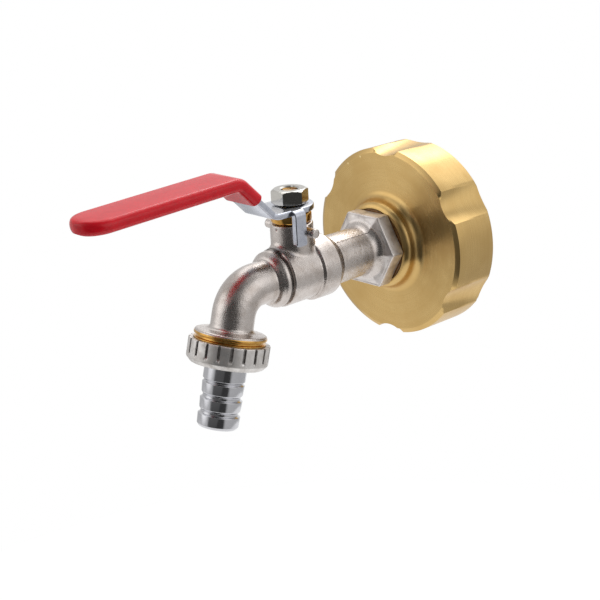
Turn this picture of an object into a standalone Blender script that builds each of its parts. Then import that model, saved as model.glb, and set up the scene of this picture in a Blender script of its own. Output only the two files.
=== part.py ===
"""Ball tap for a tank outlet: scalloped screw cap, cast ball valve with a lever, swan-neck spout,
union nut and hose tail. Metres, +Z up. The flow runs along -Y from the cap, whose open tank-side
face lies at Y = 0 with its centre at the origin."""

import math

import bmesh
import bpy
from mathutils import Matrix, Vector

# Clearances, and how far a cutter runs past the face it opens
FIT = 0.0003
RUNNING = 0.0005
CUT_BEYOND = 0.0020

# Tank cap, a female coarse-thread cap with milled finger scallops
SOCKET_RADIUS = 0.0303
SOCKET_DEPTH = 0.0145
SOCKET_LEAD = 0.0008
RIM_WALL = 0.0046
SCALLOP_DEPTH = 0.0029
SCALLOP_REAR_DEPTH = 0.0012
SCALLOP_HALF_WIDTH = 0.0067
SCALLOP_COUNT = 6
CAP_FACE_THICKNESS = 0.0063
CAP_CHAMFER_BAND = 0.0018
CAP_CHAMFER_LENGTH = 0.0009
CAP_REAR_CHAMFER = 0.0005
BOSS_WALL = 0.0025
BOSS_HEIGHT = 0.0068
BOSS_FOOT_FILLET = 0.0034
BOSS_EDGE_ROUND = 0.0026
GASKET_BAND = 0.0080
GASKET_THICKNESS = 0.0030

# Inlet end piece: male thread into the cap, spanner hexagon, tube, male thread into the body
INLET_THREAD_RADIUS = 0.0130
INLET_THREAD_RUNOUT = 0.0006
HEX_ACROSS_FLATS = 0.0280
HEX_THICKNESS = 0.0071
HEX_FRONT_RISE = 0.0010
HEX_EDGE_BREAK = 0.0005
TUBE_LENGTH = 0.0189
TUBE_FILLET = 0.0033
THREAD_STEP = 0.00065
FLOW_BORE_RADIUS = 0.0055
SEAL_SECTION = 0.0015
JOINT_RING_SECTION = 0.00075
JOINT_RING_SETBACK = 0.0026

# Ball, seats and valve chamber
BALL_RADIUS = 0.0085
PORT_RADIUS = 0.0050
SEAT_INNER_RADIUS = 0.0053
SEAT_LAND = 0.0016
SEAT_LENGTH = 0.0038
CHAMBER_WALL = 0.0022
END_WALL = 0.00265
END_CHAMFER_RADIAL = 0.0020
END_CHAMFER_LENGTH = 0.0036
STEP_AHEAD_OF_BALL = 0.0050
COLLAR_LENGTH = 0.0050
COLLAR_DROP = 0.0006
COLLAR_GROOVE = 0.0008
BODY_ENGAGEMENT = 0.0080

# Neck, stem and gland
NECK_RADIUS = 0.0081
NECK_TOP_ABOVE_CHAMBER = 0.0080
NECK_FILLET = 0.0026
NECK_TOP_BREAK = 0.0003
STEM_RADIUS = 0.0039
STEM_COLLAR_RADIUS = 0.0052
STEM_COLLAR_HEIGHT = 0.0014
TANG_HALF_THICKNESS = 0.0013
TANG_HALF_LENGTH = 0.0036
SLOT_DEPTH = 0.0024
THRUST_WASHER_THICKNESS = 0.0006
STEM_RING_SECTION = 0.0006
STEM_GUIDE_LENGTH = 0.0034
PACKING_RADIUS = 0.0062
PACKING_HEIGHT = 0.0017
GLAND_HEAD_RADIUS = 0.0077
GLAND_HEAD_HEIGHT = 0.0042
GLAND_HEAD_CHAMFER = 0.0005
GLAND_SLOT_WIDTH = 0.0014
GLAND_SLOT_DEPTH = 0.0011
LUG_RADIUS = 0.0019
LUG_EDGE_BREAK = 0.0004
LUG_REACH = 0.0134
LUG_BELOW_NECK_TOP = 0.0022

# Lever
PLATE_THICKNESS = 0.0023
PLATE_HALF_WIDTH = 0.0087
SHANK_HALF_WIDTH = 0.0079
PLATE_EDGE_BREAK = 0.0004
LEVER_REACH = 0.0934
CRANK_START = 0.0141
CRANK_ANGLE = math.radians(45)
CRANK_RISE = 0.0152
CRANK_LOWER_BEND = 0.0036
CRANK_UPPER_BEND = 0.0046
GRIP_FALL = math.radians(2.3)
GRIP_WALL = 0.0011
GRIP_TIP_THINNING = 0.35
GRIP_END_UP_CRANK = 0.0102
GRIP_EDGE_ROUND = 0.0018
FULLEST_EDGE = 0.9
TAB_WIDTH = 0.0052
TAB_DROP = 0.0112
TAB_BEND = 0.0023
REAR_TAB_SETBACK = 0.0010
FLAT_HALF_WIDTH = 0.0029
STUD_RADIUS = 0.0029
STUD_RECESS = 0.0006
NUT_ACROSS_FLATS = 0.0122
NUT_HEIGHT = 0.0052
NUT_TURN = math.radians(-3)
NUT_CHAMFER = 0.0007
NUT_FOOT_CHAMFER = 0.0004
NUT_COUNTERSINK = 0.0004

# Spout, union nut and hose tail
ELBOW_RADIUS = 0.0080
ELBOW_BEND = 0.0115
ELBOW_RUN = 0.0047
SPOUT_LEAN = math.radians(16)
SPOUT_LENGTH = 0.0077
SPIGOT_RADIUS = 0.0134
SPIGOT_BAND = 0.0013
SPIGOT_THREAD_STEP = 0.0003
SPIGOT_THREAD_LENGTH = 0.0043
SPIGOT_WALL = 0.0056
FLARE_RADIUS = 0.0016
FLARE_SLOPE = math.radians(8)
FLANGE_EDGE = 0.0013
FLANGE_ROUND = 0.0009
UNION_WALL = 0.0014
UNION_HEIGHT = 0.0088
UNION_FLOOR = 0.0014
UNION_SLOTS = 20
UNION_SLOT_DEPTH = 0.0007
UNION_SLOT_HALF_WIDTH = 0.00045
UNION_SLOT_LENGTH = 0.0046
UNION_SLOT_SLOPE = 0.02
UNION_FOOT_CHAMFER = 0.0021
TAIL_RADIUS = 0.0079
TAIL_BORE_RADIUS = 0.0050
TAIL_FLANGE_THICKNESS = 0.0015
TAIL_COLLAR_LENGTH = 0.0058
BARB_COUNT = 3
BARB_PITCH = 0.0059
BARB_GROOVE = 0.0009
BARB_TAPER = 0.0004
BARB_NECK_LENGTH = 0.0016
TAIL_WASHER_THICKNESS = 0.0016

# Facets: round forms, the six-sided pieces, arcs, bends, the lever's round ends and the cap's outline
ROUND = 30
SMALL_ROUND = 20
HEX_ROUND = 36
CAP_BORE_ROUND = 48
ARC = 4
BEND_STEPS = 7
BALL_BANDS = 12
END_STEPS = 8
BLUNT_END = 0.35
SCALLOP_STEPS = 6
LOBE_STEPS = 4

# Places along the flow, worked out from the sizes above
CAP_RADIUS = SOCKET_RADIUS + RIM_WALL + SCALLOP_DEPTH
Y_CAP_FRONT = -(SOCKET_DEPTH + CAP_FACE_THICKNESS)
Y_BOSS = Y_CAP_FRONT - BOSS_HEIGHT
CAP_BORE_RADIUS = INLET_THREAD_RADIUS + FIT
SEAL_RECESS_RADIUS = CAP_BORE_RADIUS + SEAL_SECTION + FIT
BOSS_RADIUS = SEAL_RECESS_RADIUS + BOSS_WALL
Y_HEX_BACK = Y_BOSS - FIT
Y_HEX_FRONT = Y_HEX_BACK - HEX_THICKNESS
Y_SEAM = Y_HEX_FRONT - TUBE_LENGTH
CHAMBER_BORE = BALL_RADIUS + RUNNING
CHAMBER_RADIUS = CHAMBER_BORE + CHAMBER_WALL
THREAD_BORE = CHAMBER_BORE + THREAD_STEP
TUBE_RADIUS = THREAD_BORE
END_RADIUS = THREAD_BORE + END_WALL
SEAT_BACK = math.sqrt((BALL_RADIUS + FIT) ** 2 - SEAT_INNER_RADIUS ** 2) + SEAT_LAND
Y_THREAD_END = Y_SEAM - BODY_ENGAGEMENT
Y_BALL = Y_THREAD_END - FIT - SEAT_BACK
Y_POCKET = Y_BALL - SEAT_BACK - FIT
Y_COLLAR = Y_POCKET - COLLAR_GROOVE
Y_SHOULDER = Y_COLLAR - COLLAR_LENGTH

# Heights up the stem axis
Z_NECK_TOP = CHAMBER_RADIUS + NECK_TOP_ABOVE_CHAMBER
Z_COLLAR_FOOT = BALL_RADIUS + 2 * FIT
Z_COLLAR_TOP = Z_COLLAR_FOOT + STEM_COLLAR_HEIGHT
Z_WASHER_TOP = Z_COLLAR_TOP + FIT + THRUST_WASHER_THICKNESS
Z_SHOULDER = Z_WASHER_TOP + FIT
Z_PACKING_FLOOR = Z_SHOULDER + STEM_GUIDE_LENGTH
Z_PACKING_TOP = Z_PACKING_FLOOR + FIT + PACKING_HEIGHT
Z_GLAND_HEAD = Z_NECK_TOP + FIT
Z_GLAND_TOP = Z_GLAND_HEAD + GLAND_HEAD_HEIGHT
Z_PLATE = Z_GLAND_TOP + 2 * FIT
Z_PLATE_TOP = Z_PLATE + PLATE_THICKNESS
Z_NUT = Z_PLATE_TOP + FIT
Z_NUT_TOP = Z_NUT + NUT_HEIGHT

# Spout line: a straight run, a bend, then the leaning outlet
TURN = math.pi / 2 - SPOUT_LEAN
Y_CORNER = Y_SHOULDER - ELBOW_RUN - ELBOW_BEND * math.tan(TURN / 2)
CORNER = Vector((0, Y_CORNER, 0))
DOWN_SPOUT = Vector((0, -math.sin(SPOUT_LEAN), -math.cos(SPOUT_LEAN)))
S_STRAIGHT = ELBOW_BEND * math.tan(TURN / 2)
S_FLANGE = S_STRAIGHT + SPOUT_LENGTH
S_THREAD = S_FLANGE + SPIGOT_BAND
S_SPIGOT_END = S_THREAD + SPIGOT_THREAD_LENGTH
S_WASHER = S_SPIGOT_END + FIT
S_TAIL_FLANGE = S_WASHER + TAIL_WASHER_THICKNESS + FIT
S_UNION_FLOOR = S_TAIL_FLANGE + TAIL_FLANGE_THICKNESS + FIT
S_UNION_FOOT = S_UNION_FLOOR + UNION_FLOOR
S_UNION_TOP = S_UNION_FOOT - UNION_HEIGHT
SPIGOT_THREAD_RADIUS = SPIGOT_RADIUS - SPIGOT_THREAD_STEP
UNION_BORE = SPIGOT_THREAD_RADIUS + FIT
UNION_RADIUS = UNION_BORE + UNION_WALL + SPIGOT_THREAD_STEP

# Axes: each is (origin, along, across, up) for the turned pieces
FLOW_AXIS = (Vector((0, 0, 0)), Vector((0, 1, 0)), Vector((1, 0, 0)), Vector((0, 0, 1)))
STEM_AXIS = (Vector((0, Y_BALL, 0)), Vector((0, 0, 1)), Vector((1, 0, 0)), Vector((0, 1, 0)))
NUT_AXIS = (STEM_AXIS[0], STEM_AXIS[1], Vector((math.cos(NUT_TURN), math.sin(NUT_TURN), 0)),
            Vector((-math.sin(NUT_TURN), math.cos(NUT_TURN), 0)))
SPOUT_AXIS = (CORNER, DOWN_SPOUT, Vector((1, 0, 0)), DOWN_SPOUT.cross(Vector((1, 0, 0))))


def clear_scene():
    """Start from an empty scene."""
    for old in list(bpy.data.objects):
        bpy.data.objects.remove(old, do_unlink=True)


def finish(name, colour, roughness, metallic):
    """One Principled material per sub-part."""
    material = bpy.data.materials.new(name)
    material.use_nodes = True
    shader = material.node_tree.nodes["Principled BSDF"]
    shader.inputs["Base Color"].default_value = (*colour, 1.0)
    shader.inputs["Roughness"].default_value = roughness
    shader.inputs["Metallic"].default_value = metallic
    return material


BRASS = (0.60, 0.40, 0.13)
NICKEL = (0.45, 0.41, 0.37)
CHROME = (0.62, 0.62, 0.64)
PTFE = (0.82, 0.82, 0.80)
BLACK_RUBBER = (0.02, 0.02, 0.02)
RED_VINYL = (0.72, 0.03, 0.03)


def make_object(name, points, faces, pivot=None):
    """Mesh object with outward faces; its origin sits at the pivot."""
    pivot = pivot or Vector((0, 0, 0))
    mesh = bpy.data.meshes.new(name)
    mesh.from_pydata([Vector(p) - pivot for p in points], [], faces)
    shape = bmesh.new()
    shape.from_mesh(mesh)
    bmesh.ops.remove_doubles(shape, verts=shape.verts, dist=0.000001)
    bmesh.ops.recalc_face_normals(shape, faces=shape.faces)
    shape.to_mesh(mesh)
    shape.free()
    mesh.shade_smooth()
    mesh.set_sharp_from_angle(angle=math.radians(30))
    item = bpy.data.objects.new(name, mesh)
    item.location = pivot
    bpy.context.collection.objects.link(item)
    return item


def skin(rings, ring_closes=False):
    """Faces between rings of equal count; either the tube closes on itself or its ends are capped."""
    count = len(rings[0])
    points = [p for ring in rings for p in ring]
    faces = []
    spans = len(rings) if ring_closes else len(rings) - 1
    for row in range(spans):
        here = row * count
        there = ((row + 1) % len(rings)) * count
        for k in range(count):
            after = (k + 1) % count
            faces.append((here + k, here + after, there + after, there + k))
    if not ring_closes:
        faces.append(tuple(range(count)))
        faces.append(tuple(range(len(points) - count, len(points))))
    return points, faces


def circle(axis, along, radius, count=ROUND):
    """Points of one circle; the radius may be a number or a function of the angle."""
    origin, forward, across, up = axis
    ring = []
    for k in range(count):
        angle = 2 * math.pi * k / count
        reach = radius(angle) if callable(radius) else radius
        ring.append(origin + forward * along + (across * math.cos(angle) + up * math.sin(angle)) * reach)
    return ring


def turned(name, axis, profile, hollow, pivot=None, count=ROUND):
    """Turned piece from (along, radius) points: a closed section if hollow, else a solid bar."""
    rings = [circle(axis, along, radius, count) for along, radius in profile]
    points, faces = skin(rings, ring_closes=hollow)
    return make_object(name, points, faces, pivot)


def arc(centre_along, centre_radius, size, start, end, steps=ARC):
    """(along, radius) points on an arc; angles in degrees from the along direction."""
    points = []
    for k in range(steps + 1):
        angle = math.radians(start + (end - start) * k / steps)
        points.append((centre_along + size * math.cos(angle), centre_radius + size * math.sin(angle)))
    return points


def box(low, high):
    """Points and faces of a box."""
    points = [(x, y, z) for x in (low[0], high[0]) for y in (low[1], high[1]) for z in (low[2], high[2])]
    faces = [(0, 1, 3, 2), (4, 6, 7, 5), (0, 4, 5, 1), (2, 3, 7, 6), (0, 2, 6, 4), (1, 5, 7, 3)]
    return points, faces


def boxes(name, spans, pivot=None):
    """One object of several separate boxes."""
    points = []
    faces = []
    for low, high in spans:
        more_points, more_faces = box(low, high)
        offset = len(points)
        points += more_points
        faces += [tuple(i + offset for i in face) for face in more_faces]
    return make_object(name, points, faces, pivot)


def combine(target, tool, operation):
    """Boolean by a tool object, which stays hidden as a guide."""
    modifier = target.modifiers.new(tool.name, "BOOLEAN")
    modifier.operation = operation
    modifier.object = tool
    modifier.solver = "EXACT"
    tool.hide_render = True
    tool.hide_set(True)
    tool.display_type = "WIRE"
    tool.parent = target
    tool.matrix_parent_inverse = Matrix.Translation(-target.location)


def dress(item, colour, roughness, metallic):
    """Give a sub-part its material."""
    item.data.materials.append(finish(item.name, colour, roughness, metallic))
    return item


# Tank cap
def scallop_reach(angle, cut):
    """Distance from the cap's centre to the milled scallops along an angle, where they are cut that deep."""
    half_angle = math.asin(SCALLOP_HALF_WIDTH / CAP_RADIUS)
    sag = cut - CAP_RADIUS * (1 - math.cos(half_angle))
    cutter = (SCALLOP_HALF_WIDTH ** 2 + sag ** 2) / (2 * sag)
    centre = CAP_RADIUS - cut + cutter
    pitch = 2 * math.pi / SCALLOP_COUNT
    turn = (angle - math.pi / 2 + pitch / 2) % pitch - pitch / 2
    inside = cutter ** 2 - (centre * math.sin(turn)) ** 2
    if inside <= 0 or abs(turn) > half_angle:
        return CAP_RADIUS
    return centre * math.cos(turn) - math.sqrt(inside)


def cap_angles():
    """Angles that land on every scallop corner, with more points in the scallops."""
    half_angle = math.asin(SCALLOP_HALF_WIDTH / CAP_RADIUS)
    pitch = 2 * math.pi / SCALLOP_COUNT
    angles = []
    for scallop in range(SCALLOP_COUNT):
        middle = math.pi / 2 + scallop * pitch
        for k in range(SCALLOP_STEPS):
            angles.append(middle - half_angle + 2 * half_angle * k / SCALLOP_STEPS)
        for k in range(LOBE_STEPS):
            angles.append(middle + half_angle + (pitch - 2 * half_angle) * k / LOBE_STEPS)
    return angles


def make_tank_cap():
    """Turned cap: rim with scallops that get shallower to the rear, filleted boss, bore and tank socket."""
    front = -Y_CAP_FRONT
    boss = -Y_BOSS
    section = [(0.0, CAP_RADIUS - CAP_REAR_CHAMFER)]
    section += [(CAP_REAR_CHAMFER, CAP_RADIUS), (front - CAP_CHAMFER_LENGTH, CAP_RADIUS)]
    section += [(front, CAP_RADIUS - CAP_CHAMFER_BAND)]
    foot = BOSS_RADIUS + BOSS_FOOT_FILLET
    section += arc(front + BOSS_FOOT_FILLET, foot, BOSS_FOOT_FILLET, 180, 270)
    edge = BOSS_EDGE_ROUND
    section += arc(boss - edge, BOSS_RADIUS - edge, edge, 90, 0)
    rings = []
    for depth, radius in section:
        ring = []
        cut = SCALLOP_REAR_DEPTH + (SCALLOP_DEPTH - SCALLOP_REAR_DEPTH) * depth / front
        for angle in cap_angles():
            reach = min(radius, scallop_reach(angle, cut))
            ring.append(Vector((reach * math.cos(angle), -depth, reach * math.sin(angle))))
        rings.append(ring)
    cap = make_object("tank_cap", *skin(rings))
    hollow = [(CUT_BEYOND, SOCKET_RADIUS + SOCKET_LEAD), (0.0, SOCKET_RADIUS + SOCKET_LEAD)]
    hollow += [(-SOCKET_LEAD, SOCKET_RADIUS), (-SOCKET_DEPTH, SOCKET_RADIUS)]
    hollow += [(-SOCKET_DEPTH, CAP_BORE_RADIUS)]
    hollow += [(-boss + SEAL_SECTION, CAP_BORE_RADIUS), (-boss + SEAL_SECTION, SEAL_RECESS_RADIUS)]
    hollow += [(-boss - CUT_BEYOND, SEAL_RECESS_RADIUS)]
    combine(cap, turned("cap_hollow_cutter", FLOW_AXIS, hollow, False, None, CAP_BORE_ROUND), "DIFFERENCE")
    return dress(cap, BRASS, 0.32, 1.0)


def make_cap_gasket():
    """Flat ring on the floor of the socket, sealing against the tank's outlet."""
    outer = SOCKET_RADIUS - FIT
    inner = outer - GASKET_BAND
    back = -SOCKET_DEPTH + FIT
    front = back + GASKET_THICKNESS
    section = [(back, inner), (front, inner), (front, outer), (back, outer)]
    return dress(turned("cap_gasket", FLOW_AXIS, section, True), BLACK_RUBBER, 0.6, 0.0)


# Inlet end piece
def hexagon_reach(half_flats, first_flat=math.pi / 2):
    """Distance to a hexagon's side along an angle."""
    def reach(angle):
        turn = (angle - first_flat + math.pi / 6) % (math.pi / 3) - math.pi / 6
        return half_flats / math.cos(turn)
    return reach


def make_inlet_end():
    """Cast end piece, one loft: threads at both ends, a hexagon whose sloping face runs into the tube."""
    half = HEX_ACROSS_FLATS / 2
    corner_plane = Y_HEX_FRONT + HEX_FRONT_RISE
    entry = -SOCKET_DEPTH - FIT
    profile = [(entry, INLET_THREAD_RADIUS - INLET_THREAD_RUNOUT)]
    profile += [(entry - INLET_THREAD_RUNOUT, INLET_THREAD_RADIUS)]
    profile += [(Y_HEX_BACK, INLET_THREAD_RADIUS), (Y_HEX_BACK, hexagon_reach(half - HEX_EDGE_BREAK))]
    profile += [(Y_HEX_BACK - HEX_EDGE_BREAK, hexagon_reach(half))]
    profile += [(corner_plane + HEX_EDGE_BREAK, hexagon_reach(half))]
    profile += [(corner_plane, hexagon_reach(half - HEX_EDGE_BREAK))]
    rings = [circle(FLOW_AXIS, along, radius, HEX_ROUND) for along, radius in profile]
    rings += fillet_on_hexagon(corner_plane, half - HEX_EDGE_BREAK)
    shank = THREAD_BORE - FIT
    groove = shank - 2 * JOINT_RING_SECTION - FIT
    ring_middle = Y_SEAM - JOINT_RING_SETBACK
    side = JOINT_RING_SECTION + FIT
    profile = [(Y_SEAM + FIT, TUBE_RADIUS), (Y_SEAM + FIT, shank)]
    profile += [(ring_middle + side, shank), (ring_middle + side, groove)]
    profile += [(ring_middle - side, groove), (ring_middle - side, shank)]
    profile += [(Y_THREAD_END + INLET_THREAD_RUNOUT, shank), (Y_THREAD_END, shank - INLET_THREAD_RUNOUT)]
    rings += [circle(FLOW_AXIS, along, radius, HEX_ROUND) for along, radius in profile]
    item = make_object("inlet_end", *skin(rings))
    bore = [(entry + CUT_BEYOND, FLOW_BORE_RADIUS), (Y_THREAD_END - CUT_BEYOND, FLOW_BORE_RADIUS)]
    combine(item, turned("inlet_bore_cutter", FLOW_AXIS, bore, False, None, SMALL_ROUND), "DIFFERENCE")
    return dress(item, NICKEL, 0.38, 1.0)


def fillet_on_hexagon(corner_plane, half_flats):
    """Rings from the hexagon's sloping face, which rises towards the tube, down the fillet to the tube."""
    sides = hexagon_reach(half_flats)
    foot = TUBE_RADIUS + TUBE_FILLET
    tube_start = Y_HEX_FRONT - TUBE_FILLET
    corner = half_flats / math.cos(math.pi / 6)
    rings = []
    for step in range(ARC + 1):
        turn = math.pi / 2 * step / ARC
        radius = foot - TUBE_FILLET * math.sin(turn)
        ring = []
        for k in range(HEX_ROUND):
            angle = 2 * math.pi * k / HEX_ROUND
            rise = HEX_FRONT_RISE * (sides(angle) - foot) / (corner - foot)
            face = corner_plane - rise
            along = tube_start + (face - tube_start) * math.cos(turn)
            ring.append(Vector((radius * math.cos(angle), along, radius * math.sin(angle))))
        rings.append(ring)
    return rings


def make_inlet_seal():
    """Square-section ring between the hexagon and the cap's boss."""
    inner = INLET_THREAD_RADIUS + 2 * FIT
    outer = inner + SEAL_SECTION - FIT
    front = Y_HEX_BACK + FIT
    back = Y_BOSS + SEAL_SECTION - FIT
    section = [(front, inner), (back, inner), (back, outer), (front, outer)]
    return dress(turned("inlet_seal", FLOW_AXIS, section, True), BLACK_RUBBER, 0.6, 0.0)


def make_round_ring(name, axis, along, radius, size, colour, pivot=None):
    """Ring of round section."""
    section = arc(along, radius, size, 0, 300, 5)
    return dress(turned(name, axis, section, True, pivot, SMALL_ROUND), colour, 0.55, 0.0)


def make_body_joint_ring():
    """O-ring on the end piece's threaded shank, inside the body's mouth."""
    middle = THREAD_BORE - FIT - JOINT_RING_SECTION
    return make_round_ring("body_joint_ring", FLOW_AXIS, Y_SEAM - JOINT_RING_SETBACK, middle,
                           JOINT_RING_SECTION, BLACK_RUBBER)


# Ball and seats
def make_seat(name, side):
    """Seat ring whose lip follows the ball; side is +1 towards the tank and -1 towards the spout."""
    touch = BALL_RADIUS + FIT
    outer = CHAMBER_BORE - FIT
    inner_depth = math.sqrt(touch ** 2 - SEAT_INNER_RADIUS ** 2)
    lip_depth = SEAT_BACK - SEAT_LENGTH
    lip_radius = math.sqrt(touch ** 2 - lip_depth ** 2)
    section = [(SEAT_BACK, SEAT_INNER_RADIUS), (inner_depth, SEAT_INNER_RADIUS)]
    start = math.atan2(SEAT_INNER_RADIUS, inner_depth)
    end = math.atan2(lip_radius, lip_depth)
    for k in range(1, ARC + 1):
        angle = start + (end - start) * k / ARC
        section.append((touch * math.cos(angle), touch * math.sin(angle)))
    section += [(lip_depth, outer), (SEAT_BACK, outer)]
    section = [(Y_BALL + side * along, radius) for along, radius in section]
    return dress(turned(name, FLOW_AXIS, section, True, None, SMALL_ROUND), PTFE, 0.5, 0.0)


def make_ball():
    """Floating ball with a through port and a slot across its top for the stem's tang."""
    rings = []
    for k in range(1, BALL_BANDS):
        angle = math.pi * k / BALL_BANDS
        height = -BALL_RADIUS * math.cos(angle)
        rings.append(circle(STEM_AXIS, height, BALL_RADIUS * math.sin(angle), SMALL_ROUND))
    points, faces = skin(rings)
    centre = Vector((0, Y_BALL, 0))
    ball = make_object("ball", points, faces, centre)
    reach = BALL_RADIUS + CUT_BEYOND
    port = [(Y_BALL - reach, PORT_RADIUS), (Y_BALL + reach, PORT_RADIUS)]
    combine(ball, turned("ball_port_cutter", FLOW_AXIS, port, False), "DIFFERENCE")
    half = TANG_HALF_THICKNESS + FIT
    floor = BALL_RADIUS - SLOT_DEPTH
    slot = boxes("ball_slot_cutter", [((-reach, Y_BALL - half, floor), (reach, Y_BALL + half, reach))])
    combine(ball, slot, "DIFFERENCE")
    return dress(ball, CHROME, 0.12, 1.0)


# Body casting
def spout_station(s):
    """Place and direction at a distance past the start of the elbow's straight run."""
    straight = ELBOW_RUN
    bend = ELBOW_BEND * TURN
    if s <= straight:
        return Vector((0, Y_SHOULDER - s, 0)), Vector((0, -1, 0))
    if s <= straight + bend:
        angle = (s - straight) / ELBOW_BEND
        y = Y_SHOULDER - straight - ELBOW_BEND * math.sin(angle)
        z = -ELBOW_BEND * (1 - math.cos(angle))
        return Vector((0, y, z)), Vector((0, -math.cos(angle), -math.sin(angle)))
    return CORNER + DOWN_SPOUT * (S_STRAIGHT + s - straight - bend), DOWN_SPOUT


def spout_ring(s, radius, count=ROUND):
    """Circle square to the spout line."""
    place, forward = spout_station(s)
    across = Vector((1, 0, 0))
    up = forward.cross(across)
    ring = []
    for k in range(count):
        angle = 2 * math.pi * k / count
        ring.append(place + (across * math.cos(angle) + up * math.sin(angle)) * radius)
    return ring


def spout_line(stations, count=ROUND):
    """Rings along the spout from (distance, radius) points."""
    return skin([spout_ring(s, radius, count) for s, radius in stations])


def make_spout_form():
    """Swan-neck spout: round tube through the bend, flared to the flange and its threaded spigot."""
    bend_end = ELBOW_RUN + ELBOW_BEND * TURN
    flange = bend_end + SPOUT_LENGTH
    rim = flange - FLANGE_EDGE
    stations = [(-COLLAR_LENGTH / 2, ELBOW_RADIUS), (ELBOW_RUN, ELBOW_RADIUS)]
    for k in range(1, BEND_STEPS + 1):
        stations.append((ELBOW_RUN + ELBOW_BEND * TURN * k / BEND_STEPS, ELBOW_RADIUS))
    rise = SPIGOT_RADIUS - FLANGE_ROUND - ELBOW_RADIUS
    curve_end = math.pi / 2 - FLARE_SLOPE
    curve_rise = FLARE_RADIUS * (1 - math.cos(curve_end))
    curve_run = FLARE_RADIUS * math.sin(curve_end)
    cone_run = (rise - curve_rise) * math.tan(FLARE_SLOPE)
    flare_start = rim - cone_run - curve_run
    for k in range(ARC + 1):
        angle = curve_end * k / ARC
        stations.append((flare_start + FLARE_RADIUS * math.sin(angle),
                         ELBOW_RADIUS + FLARE_RADIUS * (1 - math.cos(angle))))
    stations += arc(rim + FLANGE_ROUND, SPIGOT_RADIUS - FLANGE_ROUND, FLANGE_ROUND, 180, 90, 3)
    stations += [(flange + SPIGOT_BAND, SPIGOT_RADIUS)]
    stations += [(flange + SPIGOT_BAND + SPIGOT_THREAD_STEP, SPIGOT_THREAD_RADIUS)]
    spigot_end = flange + SPIGOT_BAND + SPIGOT_THREAD_LENGTH
    stations += [(spigot_end - SPIGOT_THREAD_STEP, SPIGOT_THREAD_RADIUS)]
    stations += [(spigot_end, SPIGOT_THREAD_RADIUS - SPIGOT_THREAD_STEP)]
    return make_object("spout_form", *spout_line(stations))


def make_spout_bore():
    """Waterway from the valve chamber to the spigot, opened out inside the spigot."""
    bend_end = ELBOW_RUN + ELBOW_BEND * TURN
    flange = bend_end + SPOUT_LENGTH
    counterbore = SPIGOT_THREAD_RADIUS - SPIGOT_WALL
    stations = [(Y_SHOULDER - Y_POCKET - CUT_BEYOND, FLOW_BORE_RADIUS), (ELBOW_RUN, FLOW_BORE_RADIUS)]
    for k in range(1, BEND_STEPS + 1):
        stations.append((ELBOW_RUN + ELBOW_BEND * TURN * k / BEND_STEPS, FLOW_BORE_RADIUS))
    stations += [(flange - SPIGOT_BAND, FLOW_BORE_RADIUS), (flange + SPIGOT_BAND, counterbore)]
    stations += [(flange + SPIGOT_BAND + SPIGOT_THREAD_LENGTH + CUT_BEYOND, counterbore)]
    return make_object("spout_bore_cutter", *spout_line(stations, SMALL_ROUND))


def make_chamber_form():
    """Outside of the valve chamber: chamfered mouth, thicker screw end, barrel, and ringed collar."""
    mouth = END_RADIUS - END_CHAMFER_RADIAL
    step = Y_BALL + STEP_AHEAD_OF_BALL
    drop = END_RADIUS - CHAMBER_RADIUS
    ring = CHAMBER_RADIUS - COLLAR_DROP
    profile = [(Y_SEAM, mouth), (Y_SEAM - END_CHAMFER_LENGTH, END_RADIUS), (step, END_RADIUS)]
    profile += arc(step, CHAMBER_RADIUS, drop, 90, 180, 3)
    profile += [(Y_POCKET + COLLAR_GROOVE, CHAMBER_RADIUS), (Y_POCKET, CHAMBER_RADIUS - COLLAR_GROOVE)]
    profile += [(Y_COLLAR, CHAMBER_RADIUS - COLLAR_GROOVE), (Y_COLLAR - COLLAR_GROOVE / 2, ring)]
    profile += arc(Y_SHOULDER + COLLAR_LENGTH / 2, ring - COLLAR_LENGTH / 2, COLLAR_LENGTH / 2, 90, 180, ARC)
    profile += [(Y_SHOULDER, ELBOW_RADIUS - FIT)]
    return turned("chamber_form", FLOW_AXIS, profile, False)


def make_neck_form():
    """Vertical neck with a rolling-ball fillet where it runs down on to the round chamber."""
    blend = NECK_FILLET
    rings = []
    levels = [(Z_NECK_TOP, NECK_RADIUS - NECK_TOP_BREAK), (Z_NECK_TOP - NECK_TOP_BREAK, NECK_RADIUS)]
    for height, radius in levels:
        rings.append(circle(STEM_AXIS, height, radius))
    for step in range(ARC + 2):
        ring = []
        for k in range(ROUND):
            angle = 2 * math.pi * k / ROUND
            outward = Vector((math.cos(angle), math.sin(angle), 0))
            centre = outward * (NECK_RADIUS + blend)
            centre.z = math.sqrt((CHAMBER_RADIUS + blend) ** 2 - centre.x ** 2)
            to_neck = -outward
            to_chamber = Vector((-centre.x, 0, -centre.z)).normalized()
            if step <= ARC:
                direction = to_neck.slerp(to_chamber, step / ARC)
                point = centre + direction * blend
            else:
                point = centre + to_chamber * (blend + CHAMBER_WALL / 2)
            ring.append(point + Vector((0, Y_BALL, 0)))
        rings.append(ring)
    foot = Vector((0, Y_BALL, CHAMBER_BORE / 2))
    rings.append([Vector(((p.x + foot.x) / 2, (p.y + foot.y) / 2, foot.z)) for p in rings[-1]])
    return make_object("neck_form", *skin(rings))


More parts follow.
